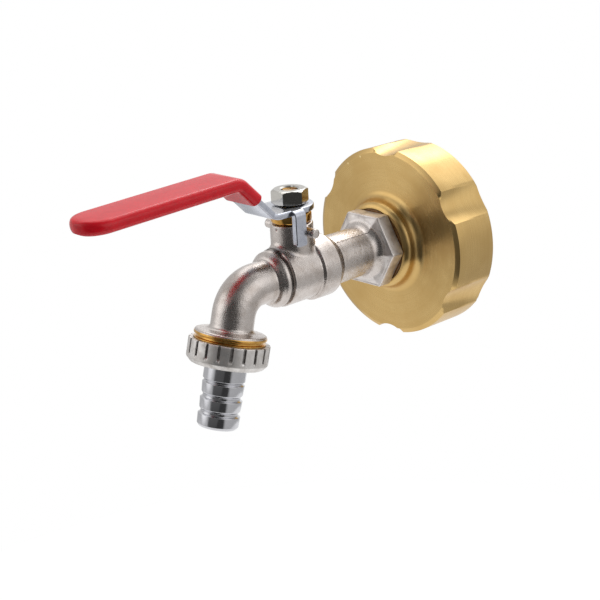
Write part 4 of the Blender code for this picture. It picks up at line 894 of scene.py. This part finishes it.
def tab_form(side, setback, turn):
    """Stop tab: a strip that bends down from the plate's edge beside the lug."""
    outer = PLATE_HALF_WIDTH + PLATE_THICK + setback
    top = PLATE_UNDER + PLATE_THICK
    line = [(PLATE_HALF_WIDTH / 2, top, 0.0)]
    for k in range(9):
        slope = math.pi / 2 * k / 8
        line.append((outer - TAB_BEND + TAB_BEND * math.sin(slope),
                     top - TAB_BEND + TAB_BEND * math.cos(slope), slope))
    line += [(outer, TAB_FOOT + rise, math.pi / 2) for rise in (0.9, 0.35, 0.0)]
    low, high = sorted((side * TAB_NEAR, side * TAB_FAR))
    insets = [0] * (len(line) - 2) + [0.15, 0.6]
    spin = Matrix.Rotation(turn, 3, "Z")
    rings = []
    for (x, z, slope), inset in zip(line, insets):
        inward = Vector((-math.sin(slope), 0, -math.cos(slope)))
        left, right = low + inset, high - inset
        ring = []
        for lateral, depth in ((left + TAB_EDGE, 0), (right - TAB_EDGE, 0), (right, TAB_EDGE),
                               (right, PLATE_THICK - TAB_EDGE), (right - TAB_EDGE, PLATE_THICK),
                               (left + TAB_EDGE, PLATE_THICK), (left, PLATE_THICK - TAB_EDGE),
                               (left, TAB_EDGE)):
            ring.append(spin @ (Vector((x, lateral, z)) + inward * depth) + Vector((0, BALL_Y, 0)))
        rings.append(ring)
    return ring_form(rings)


def make_zinc_plate():
    """Bright zinc plate on rolled strip: cold tint, cloudy patches and fine rolling lines."""
    finish = Finish("zinc_plate", PLATE_COLOUR, 1.0, 0.2)
    cloud = finish.noise(330.0, 5.0, Roughness=0.65)
    stretch = finish.put("Mapping", {"Vector": finish.place, "Scale": (9.0, 0.6, 9.0)}).outputs["Vector"]
    rolling = finish.noise(420.0, 3.0, Vector=stretch)
    finish.mottle(cloud, 0.35, 0.65, (0.600, 0.620, 0.680), (0.470, 0.490, 0.560))
    finish.roughen(cloud, 0.14, 0.3)
    finish.wire(finish.relief(cloud, 0.35, 0.00008, finish.relief(rolling, 0.25, 0.00002)), "Normal")
    return finish.material


plate_rings = []
for k in range(1, 24):
    turn = math.pi / 2 * k / 24
    plate_rings.append(plate_ring((PLATE_HALF_WIDTH * math.cos(turn), PLATE_MIDDLE, 0.0),
                                  PLATE_HALF_WIDTH * math.sin(turn)))
plate_rings.append(plate_ring((0.0, PLATE_MIDDLE, 0.0), PLATE_HALF_WIDTH))
for index, bend_point in enumerate(lever_bends()):
    plate_rings.append(plate_ring(bend_point, PLATE_HALF_WIDTH - 0.6 * min(1.0, index / 12)))
for k in range(24):
    turn = math.pi / 2 * k / 24
    reach = LEVER_REACH - GRIP_WALL - POCKET_GAP - SHANK_HALF_WIDTH * (1 - math.sin(turn))
    plate_rings.append(plate_ring(on_grip(reach), SHANK_HALF_WIDTH * math.cos(turn)))
hole_outline = []
for k in range(64):
    turn = 2 * math.pi * k / 64
    hole_outline.append((max(-HOLE_HALF_FLATS, min(HOLE_HALF_FLATS, HOLE_RADIUS * math.cos(turn))),
                         HOLE_RADIUS * math.sin(turn)))
hole_rings = [[(x, BALL_Y + y, z) for x, y in hole_outline] for z in (23.0, 28.0)]
lever_plate = fused("lever_plate_zinc",
                    [ring_form(plate_rings), tab_form(-1, 0.0, 0.0), tab_form(1, 1.0, math.pi / 2)],
                    [ring_form(hole_rings)])
dress(lever_plate, make_zinc_plate(), 40)
join_frame(lever_plate, "lever", "plated_steel", "lever_plate")


# Lever grip: red vinyl, dip-moulded on to the plate, so its edges are soft and its skin is glossy
# with a slight orange peel. It ends part way down the crank.
GRIP_EDGE = 2.4
GRIP_HALF_HEIGHT = PLATE_THICK / 2 + POCKET_GAP + GRIP_WALL
GRIP_HALF_WIDTH = SHANK_HALF_WIDTH + POCKET_GAP + GRIP_WALL
POCKET_EDGE = 0.35
POCKET_HALF_HEIGHT = PLATE_THICK / 2 + POCKET_GAP
POCKET_HALF_WIDTH = SHANK_HALF_WIDTH + POCKET_GAP
VINYL_RED = (0.760, 0.010, 0.022)
VINYL_SHADE = (0.640, 0.008, 0.018)


def make_red_vinyl():
    """Glossy red vinyl with a slow ripple, fine peel and faint scuffs."""
    finish = Finish("red_vinyl", VINYL_RED, 0.0, 0.18)
    finish.shader.inputs["Specular IOR Level"].default_value = 0.28
    scuffs = finish.noise(240.0, 6.0, Roughness=0.7)
    finish.mottle(scuffs, 0.4, 0.7, VINYL_RED, VINYL_SHADE)
    finish.roughen(scuffs, 0.15, 0.22)
    ripple = finish.relief(finish.noise(120.0, 2.0), 0.2, 0.0001)
    finish.wire(finish.relief(finish.noise(900.0, 2.0), 0.04, 0.00001, ripple), "Normal")
    return finish.material


def grip_ring(point, half_width=GRIP_HALF_WIDTH, half_height=GRIP_HALF_HEIGHT):
    """Cross-section of the grip's outside."""
    return lever_ring(point, half_width, half_height, GRIP_EDGE, 8)


def pocket_ring(point, half_width=POCKET_HALF_WIDTH):
    """Cross-section of the pocket that the plate fills."""
    return lever_ring(point, half_width, POCKET_HALF_HEIGHT, POCKET_EDGE, 2)


upper_bend = lever_bends()[13:]
grip_rings = []
for distance, shrink in ((11.0, 0.35), (11.15, 0.15), (11.4, 0.0), (11.6, 0.0), (13.5, 0.0), (16.5, 0.0)):
    grip_rings.append(grip_ring(on_crank(distance), GRIP_HALF_WIDTH - shrink, GRIP_HALF_HEIGHT - shrink))
grip_rings += [grip_ring(bend_point) for bend_point in upper_bend]
for k in range(12):
    reach = 30.0 + (LEVER_REACH - GRIP_HALF_WIDTH - 30.0) * k / 12
    if reach > -upper_bend[-1][0] + 0.5:
        grip_rings.append(grip_ring(on_grip(reach)))
for k in range(33):
    turn = math.pi / 2 * k / 33
    reach = LEVER_REACH - GRIP_HALF_WIDTH * (1 - math.sin(turn))
    grip_rings.append(grip_ring(on_grip(reach), GRIP_HALF_WIDTH * math.cos(turn),
                                GRIP_HALF_HEIGHT * (1 - 0.42 * math.sin(turn) ** 10)))
pocket_rings = [pocket_ring(on_crank(9.4))] + [pocket_ring(bend_point) for bend_point in upper_bend]
for k in range(16):
    turn = math.pi / 2 * k / 16
    reach = LEVER_REACH - GRIP_WALL - POCKET_HALF_WIDTH * (1 - math.sin(turn))
    pocket_rings.append(pocket_ring(on_grip(reach), POCKET_HALF_WIDTH * math.cos(turn)))
lever_grip = fused("lever_grip_vinyl", [ring_form(grip_rings)], [ring_form(pocket_rings)])
dress(lever_grip, make_red_vinyl(), 50)
join_frame(lever_grip, "lever", "red_vinyl", "lever_grip")


# Handle nut: a cold-formed plated hexagon nut, 12 mm across flats and chamfered on both faces, that
# clamps the lever on the stem.
NUT_TURN = math.radians(-3)
NUT_FOOT = 26.9
NUT_HEIGHT = 5.5
NUT_TOP = NUT_FOOT + NUT_HEIGHT
NUT_HALF_FLATS = 6.1
NUT_BORE = 3.25
NUT_COLOUR = (0.62, 0.60, 0.56)

nut_line = (Vector((0, BALL_Y, 0)), Vector((0, 0, 1)), Vector((math.cos(NUT_TURN), math.sin(NUT_TURN), 0)),
            Vector((-math.sin(NUT_TURN), math.cos(NUT_TURN), 0)))
nut_side = hexagon_side(NUT_HALF_FLATS, 0.12, math.pi / 6)
foot_chamfer = ((0, 5.9), (0.15, 6.25), (0.32, 6.65), (0.5, 7.1))
top_chamfer = ((0.75, 7.1), (0.6, 6.9), (0.42, 6.62), (0.25, 6.3), (0.08, 5.95), (0, 5.75))
nut_section = [(NUT_FOOT + step, radius) for step, radius in foot_chamfer]
nut_section += [(NUT_TOP - step, radius) for step, radius in top_chamfer]
nut_section += [(NUT_TOP, NUT_BORE + 0.5), (NUT_TOP - 0.5, NUT_BORE), (NUT_FOOT, NUT_BORE)]
nut_form = turned_form(nut_line, nut_section, True, hexagon_angles(),
                       lambda angle, radius, along: min(radius, nut_side(angle)))
nut_plate = make_polished_chrome("nut_plate", NUT_COLOUR, 0.12)
handle_nut = make_piece("handle_nut_plated", [nut_form], nut_plate, 14)
join_frame(handle_nut, "lever", "plated_steel", "handle_nut")


# Union nut: a die-cast plated nut with twenty milled grip slots, drawn up by hand on the spigot. Its
# plain lower edge is turned in under the hose tail's flange.
UNION_TOP = FLANGE + 2.2
UNION_FOOT = FLANGE + 11.0
UNION_RADIUS = 15.1
UNION_BORE = 13.4
UNION_LIP = 8.2
LIP_THICK = 1.4
SLOTS = 20
SLOT_STEP = 2 * math.pi / SLOTS
SLOT_HALF_WIDTH = 0.52
SLOT_DEPTH = 0.9
SLOT_LENGTH = 5.6
UNION_COLOUR = (0.760, 0.735, 0.715)
UNION_SHADE = (0.600, 0.570, 0.540)
SLOT_PAINTED_SHADE = (0.400, 0.380, 0.365)
SLOT_PAINTED_SHADE_DEEP = (0.240, 0.225, 0.215)


def union_angles():
    """Angles that land on both edges and the floor of every slot."""
    half = SLOT_HALF_WIDTH / UNION_RADIUS
    angles = []
    for slot in range(SLOTS):
        middle = slot * SLOT_STEP
        angles += [middle + half * share for share in (-1.25, -1, -0.85, 0, 0.85, 1, 1.25)]
        angles += [middle + half * 1.25 + (SLOT_STEP - 2.5 * half) * k / 6 for k in range(1, 6)]
    return angles


def union_reach(angle, radius, along):
    """Outside of the union nut, let in at the slots, which fade out above the plain lower edge."""
    half = SLOT_HALF_WIDTH / UNION_RADIUS
    turn = (angle + SLOT_STEP / 2) % SLOT_STEP - SLOT_STEP / 2
    wall = max(0.0, min(1.0, (half * 1.05 - abs(turn)) / (half * 0.2)))
    fade = max(0.0, min(1.0, (UNION_TOP + SLOT_LENGTH - along) / 0.6))
    return min(radius, UNION_RADIUS - SLOT_DEPTH * wall * fade)


def make_union_casting():
    """Satin plate on a die casting: pale, even and slightly frosted."""
    finish = Finish("union_plate", UNION_COLOUR, 1.0, 0.48)
    cloud = finish.noise(380.0, 4.0)
    finish.mottle(cloud, 0.35, 0.7, UNION_COLOUR, UNION_SHADE)
    finish.roughen(cloud, 0.40, 0.56)
    frost = finish.noise(2600.0, 3.0)
    finish.wire(finish.relief(frost, 0.5, 0.00004, finish.relief(cloud, 0.4, 0.0001)), "Normal")
    return finish.material


def make_slot_painted_shade():
    """Dark grey painted shade on the slots' floors, in patches."""
    finish = Finish("slot_painted_shade", (0.320, 0.300, 0.290), 0.8, 0.45)
    cloud = finish.noise(900.0, 4.0)
    finish.mottle(cloud, 0.35, 0.7, SLOT_PAINTED_SHADE, SLOT_PAINTED_SHADE_DEEP)
    finish.wire(finish.relief(cloud, 0.5, 0.00005), "Normal")
    return finish.material


union_section = rounded_profile([(UNION_TOP, UNION_BORE, 0), (UNION_TOP, UNION_RADIUS, 0.35),
                                 (UNION_FOOT - 1.7, UNION_RADIUS, 0.9), (UNION_FOOT, UNION_RADIUS - 1.6, 0.6),
                                 (UNION_FOOT, UNION_LIP, 0.2), (UNION_FOOT - LIP_THICK, UNION_LIP, 0),
                                 (UNION_FOOT - LIP_THICK, UNION_BORE, 0)], True, 5)
dense_section = []
for here, ahead in zip(union_section, union_section[1:] + union_section[:1]):
    outside = min(here[1], ahead[1]) > UNION_RADIUS - 0.5
    pieces = max(1, int(math.dist(here, ahead) / 0.6)) if outside else 1
    dense_section += [(here[0] + (ahead[0] - here[0]) * k / pieces,
                       here[1] + (ahead[1] - here[1]) * k / pieces) for k in range(pieces)]
union_form = turned_form(SPOUT_LINE, dense_section, True, union_angles(), union_reach)
union_nut = make_piece("union_nut_cast", [union_form], make_union_casting(), 38)
join_frame(union_nut, "union_nut", "cast_nickel", "union_nut")
# Painted shade: the faces on the slots' floors take the dark grey material.
union_nut.data.materials.append(make_slot_painted_shade())
spout_start, spout_way = (np.array(v, float) for v in SPOUT_LINE[:2])
for face in union_nut.data.polygons:
    out = np.array(face.center) / MM - spout_start
    along = float(out @ spout_way)
    depth = UNION_RADIUS - float(np.linalg.norm(out - along * spout_way))
    if UNION_TOP + 0.5 < along < UNION_TOP + SLOT_LENGTH + 0.3 and 0.3 < depth < SLOT_DEPTH + 0.2:
        face.material_index = 1


# Hose tail: turned brass, bright-plated, with a plain collar and three barbs whose sharp shoulders
# face the nut. Its flange is held inside the union nut and it can swivel until the nut is tight.
TAIL_RADIUS = 7.9
TAIL_BORE = 5.0
TAIL_FLANGE = 12.5
TAIL_COLOUR = (0.610, 0.610, 0.635)
BARBS = 3
BARB_PITCH = 5.9
BARB_DEPTH = 0.85

collar_end = UNION_FOOT + 5.8
tail_foot = collar_end + BARBS * BARB_PITCH
tail_corners = [(FLANGE + 7.8, TAIL_BORE, 0), (FLANGE + 7.8, TAIL_FLANGE, 0.2),
                (FLANGE + 9.3, TAIL_FLANGE, 0.2), (FLANGE + 9.3, TAIL_RADIUS, 0),
                (collar_end - 0.35, TAIL_RADIUS, 0.3), (collar_end + 0.55, TAIL_RADIUS - BARB_DEPTH, 0.25)]
for barb in range(BARBS):
    crest = collar_end + 1.15 + BARB_PITCH * barb
    tail_corners += [(crest, TAIL_RADIUS, 0.2)]
    if barb < BARBS - 1:
        tail_corners += [(crest + 3.7, TAIL_RADIUS - 0.25, 0.5), (crest + 4.5, TAIL_RADIUS - BARB_DEPTH, 0.4),
                         (crest + 5.45, TAIL_RADIUS - BARB_DEPTH, 0.15)]
tail_corners += [(tail_foot - 1.0, TAIL_RADIUS - 0.15, 0.5), (tail_foot, TAIL_RADIUS - 0.95, 0.25),
                 (tail_foot, TAIL_BORE + 0.3, 0.15), (tail_foot - 0.4, TAIL_BORE, 0)]
tail_form = turned_form(SPOUT_LINE, rounded_profile(tail_corners, True), True, 144)
tail_chrome = make_polished_chrome("tail_chrome", TAIL_COLOUR, 0.13)
hose_tail = make_piece("hose_tail_plated", [tail_form], tail_chrome, 40)
join_frame(hose_tail, "hose_tail", "bright_chrome", "hose_tail")


# Studio: a pale floor well under the tap, walls of soft light with the dark room the camera stands in,
# a broad softbox overhead, and the camera at the photograph's angle. The floor and the walls are white
# to the camera and in mirrored light.
FLOOR_HEIGHT = -250
FLOOR_RADIUS = 320
FLOOR_MIDDLE = -60
FLOOR_GLOW = 1.08
GLOW_SHARE = 0.86
WHITE = (1, 1, 1, 1)


def make_floor_paint():
    """Plain pale paper that still takes a soft shadow."""
    finish = Finish("studio_paper", (0.86, 0.86, 0.86), 0.0, 0.9)
    grain = finish.put("TexNoise", {"Scale": 40.0, "Detail": 3.0}).outputs["Fac"]
    finish.roughen(grain, 0.85, 0.95)
    glow = finish.put("Emission", {"Color": WHITE, "Strength": FLOOR_GLOW}).outputs["Emission"]
    rays = finish.put("LightPath").outputs
    mirrored = finish.sum("MAXIMUM", rays["Is Glossy Ray"], rays["Is Transmission Ray"])
    seen = finish.sum("MAXIMUM", rays["Is Camera Ray"], mirrored)
    share = finish.sum("MULTIPLY", seen, GLOW_SHARE)
    mixed = finish.put("MixShader", {0: share, 1: finish.shader.outputs["BSDF"], 2: glow}).outputs["Shader"]
    finish.tree.links.new(mixed, finish.tree.nodes["Material Output"].inputs["Surface"])
    return finish.material


floor_turns = [2 * math.pi * k / 64 for k in range(64)]
floor_points = [(FLOOR_RADIUS * math.cos(turn), FLOOR_RADIUS * math.sin(turn) + FLOOR_MIDDLE, FLOOR_HEIGHT)
                for turn in floor_turns]
studio_floor = make_piece("studio_floor", [(floor_points, [tuple(range(64))])], make_floor_paint())

# Direction, inner and outer angle in degrees, and added or taken light. In turn: a bright window up
# behind, its wide glow, a reflector on the left, three dark parts of the room on the camera's side, a
# pale wall on the right, the dark ceiling, and a low pale wall. BACKDROP is the region behind the tap
# where metal mirrors the white background.
WALL_LOW = 0.56
WALL_HIGH = 0.70
DARKEST = 0.05
WALL_PATCHES = [((-0.34, 0.63, 0.70), 4, 14, 3.50), ((-0.22, 0.60, 0.76), 6, 46, 1.35),
                ((-0.58, -0.75, 0.31), 8, 30, 0.80), ((0.57, -0.82, -0.05), 35, 48, -0.52),
                ((0.40, -0.65, 0.64), 16, 36, -0.30), ((0.88, -0.42, -0.24), 8, 24, -0.30),
                ((0.86, 0.30, 0.40), 10, 32, 0.60), ((0.08, 0.03, 1.00), 4, 54, -0.48),
                ((-0.67, -0.41, -0.62), 20, 34, 0.26)]
BACKDROP = ((-0.61, 0.75, -0.25), 14, 34)

world = bpy.data.worlds.new("studio_walls")
bpy.context.scene.world = world
world.use_nodes = True
walls = Nodes(world.node_tree)
walls.tree.nodes.clear()
wall_direction = walls.put("TexCoord").outputs["Generated"]


def wall_patch(direction, inner, outer):
    """1 within an angle of a direction, fading to 0 at the outer angle."""
    aim = tuple(Vector(direction).normalized())
    facing = walls.put("VectorMath", {0: wall_direction, 1: aim}, operation="DOT_PRODUCT").outputs["Value"]
    return walls.ramp(facing, math.cos(math.radians(outer)), math.cos(math.radians(inner)),
                      interpolation_type="SMOOTHSTEP")


height = walls.put("SeparateXYZ", {"Vector": wall_direction}).outputs["Z"]
level = walls.ramp(height, -0.5, 0.4, WALL_LOW, WALL_HIGH)
for aim, inner, outer, strength in WALL_PATCHES:
    level = walls.sum("ADD", level, walls.sum("MULTIPLY", wall_patch(aim, inner, outer), strength))
level = walls.sum("MAXIMUM", level, DARKEST)
rays = walls.put("LightPath").outputs
mirrored = walls.sum("MULTIPLY", walls.sum("ADD", rays["Is Glossy Ray"], rays["Is Transmission Ray"]),
                     wall_patch(*BACKDROP))
seen = walls.sum("MAXIMUM", rays["Is Camera Ray"], walls.sum("MINIMUM", mirrored, 1.0))
studio_light = walls.put("Background", {"Color": WHITE, "Strength": level}).outputs["Background"]
backdrop = walls.put("Background", {"Color": WHITE, "Strength": 1.0}).outputs["Background"]
surface = walls.put("MixShader", {0: seen, 1: studio_light, 2: backdrop}).outputs["Shader"]
walls.tree.links.new(surface, walls.put("OutputWorld").inputs["Surface"])

SOFTBOX_PLACE = Vector((-0.12, -0.02, 0.55))
SOFTBOX_AIM = Vector((0, -0.07, 0))
softbox = bpy.data.lights.new("overhead_softbox", "AREA")
softbox.shape = "RECTANGLE"
softbox.size = 0.5
softbox.size_y = 0.4
softbox.energy = 0.4
softbox_stand = bpy.data.objects.new("overhead_softbox", softbox)
softbox_stand.location = SOFTBOX_PLACE
softbox_stand.rotation_euler = (SOFTBOX_AIM - SOFTBOX_PLACE).to_track_quat("-Z", "Y").to_euler()
bpy.context.scene.collection.objects.link(softbox_stand)

CAMERA_PLACE = (0.359, -0.38781, 0.14955)
CAMERA_AZIMUTH = math.radians(48.37)
CAMERA_ELEVATION = math.radians(18.56)
CAMERA_ROLL = math.radians(-3.32)
camera_back = Vector((math.sin(CAMERA_AZIMUTH) * math.cos(CAMERA_ELEVATION),
                      -math.cos(CAMERA_AZIMUTH) * math.cos(CAMERA_ELEVATION), math.sin(CAMERA_ELEVATION)))
level_right = Vector((math.cos(CAMERA_AZIMUTH), math.sin(CAMERA_AZIMUTH), 0))
level_up = camera_back.cross(level_right)
camera_right = level_right * math.cos(CAMERA_ROLL) + level_up * math.sin(CAMERA_ROLL)
camera_up = level_up * math.cos(CAMERA_ROLL) - level_right * math.sin(CAMERA_ROLL)
lens = bpy.data.cameras.new("photograph_camera")
lens.sensor_width = 36
lens.lens = 80.16
lens.clip_start = 0.01
lens.clip_end = 20
camera = bpy.data.objects.new("photograph_camera", lens)
camera.matrix_world = Matrix.Translation(CAMERA_PLACE) @ Matrix(
    (camera_right, camera_up, camera_back)).transposed().to_4x4()
bpy.context.scene.collection.objects.link(camera)
bpy.context.scene.camera = camera
bpy.context.scene.view_settings.view_transform = "Standard"
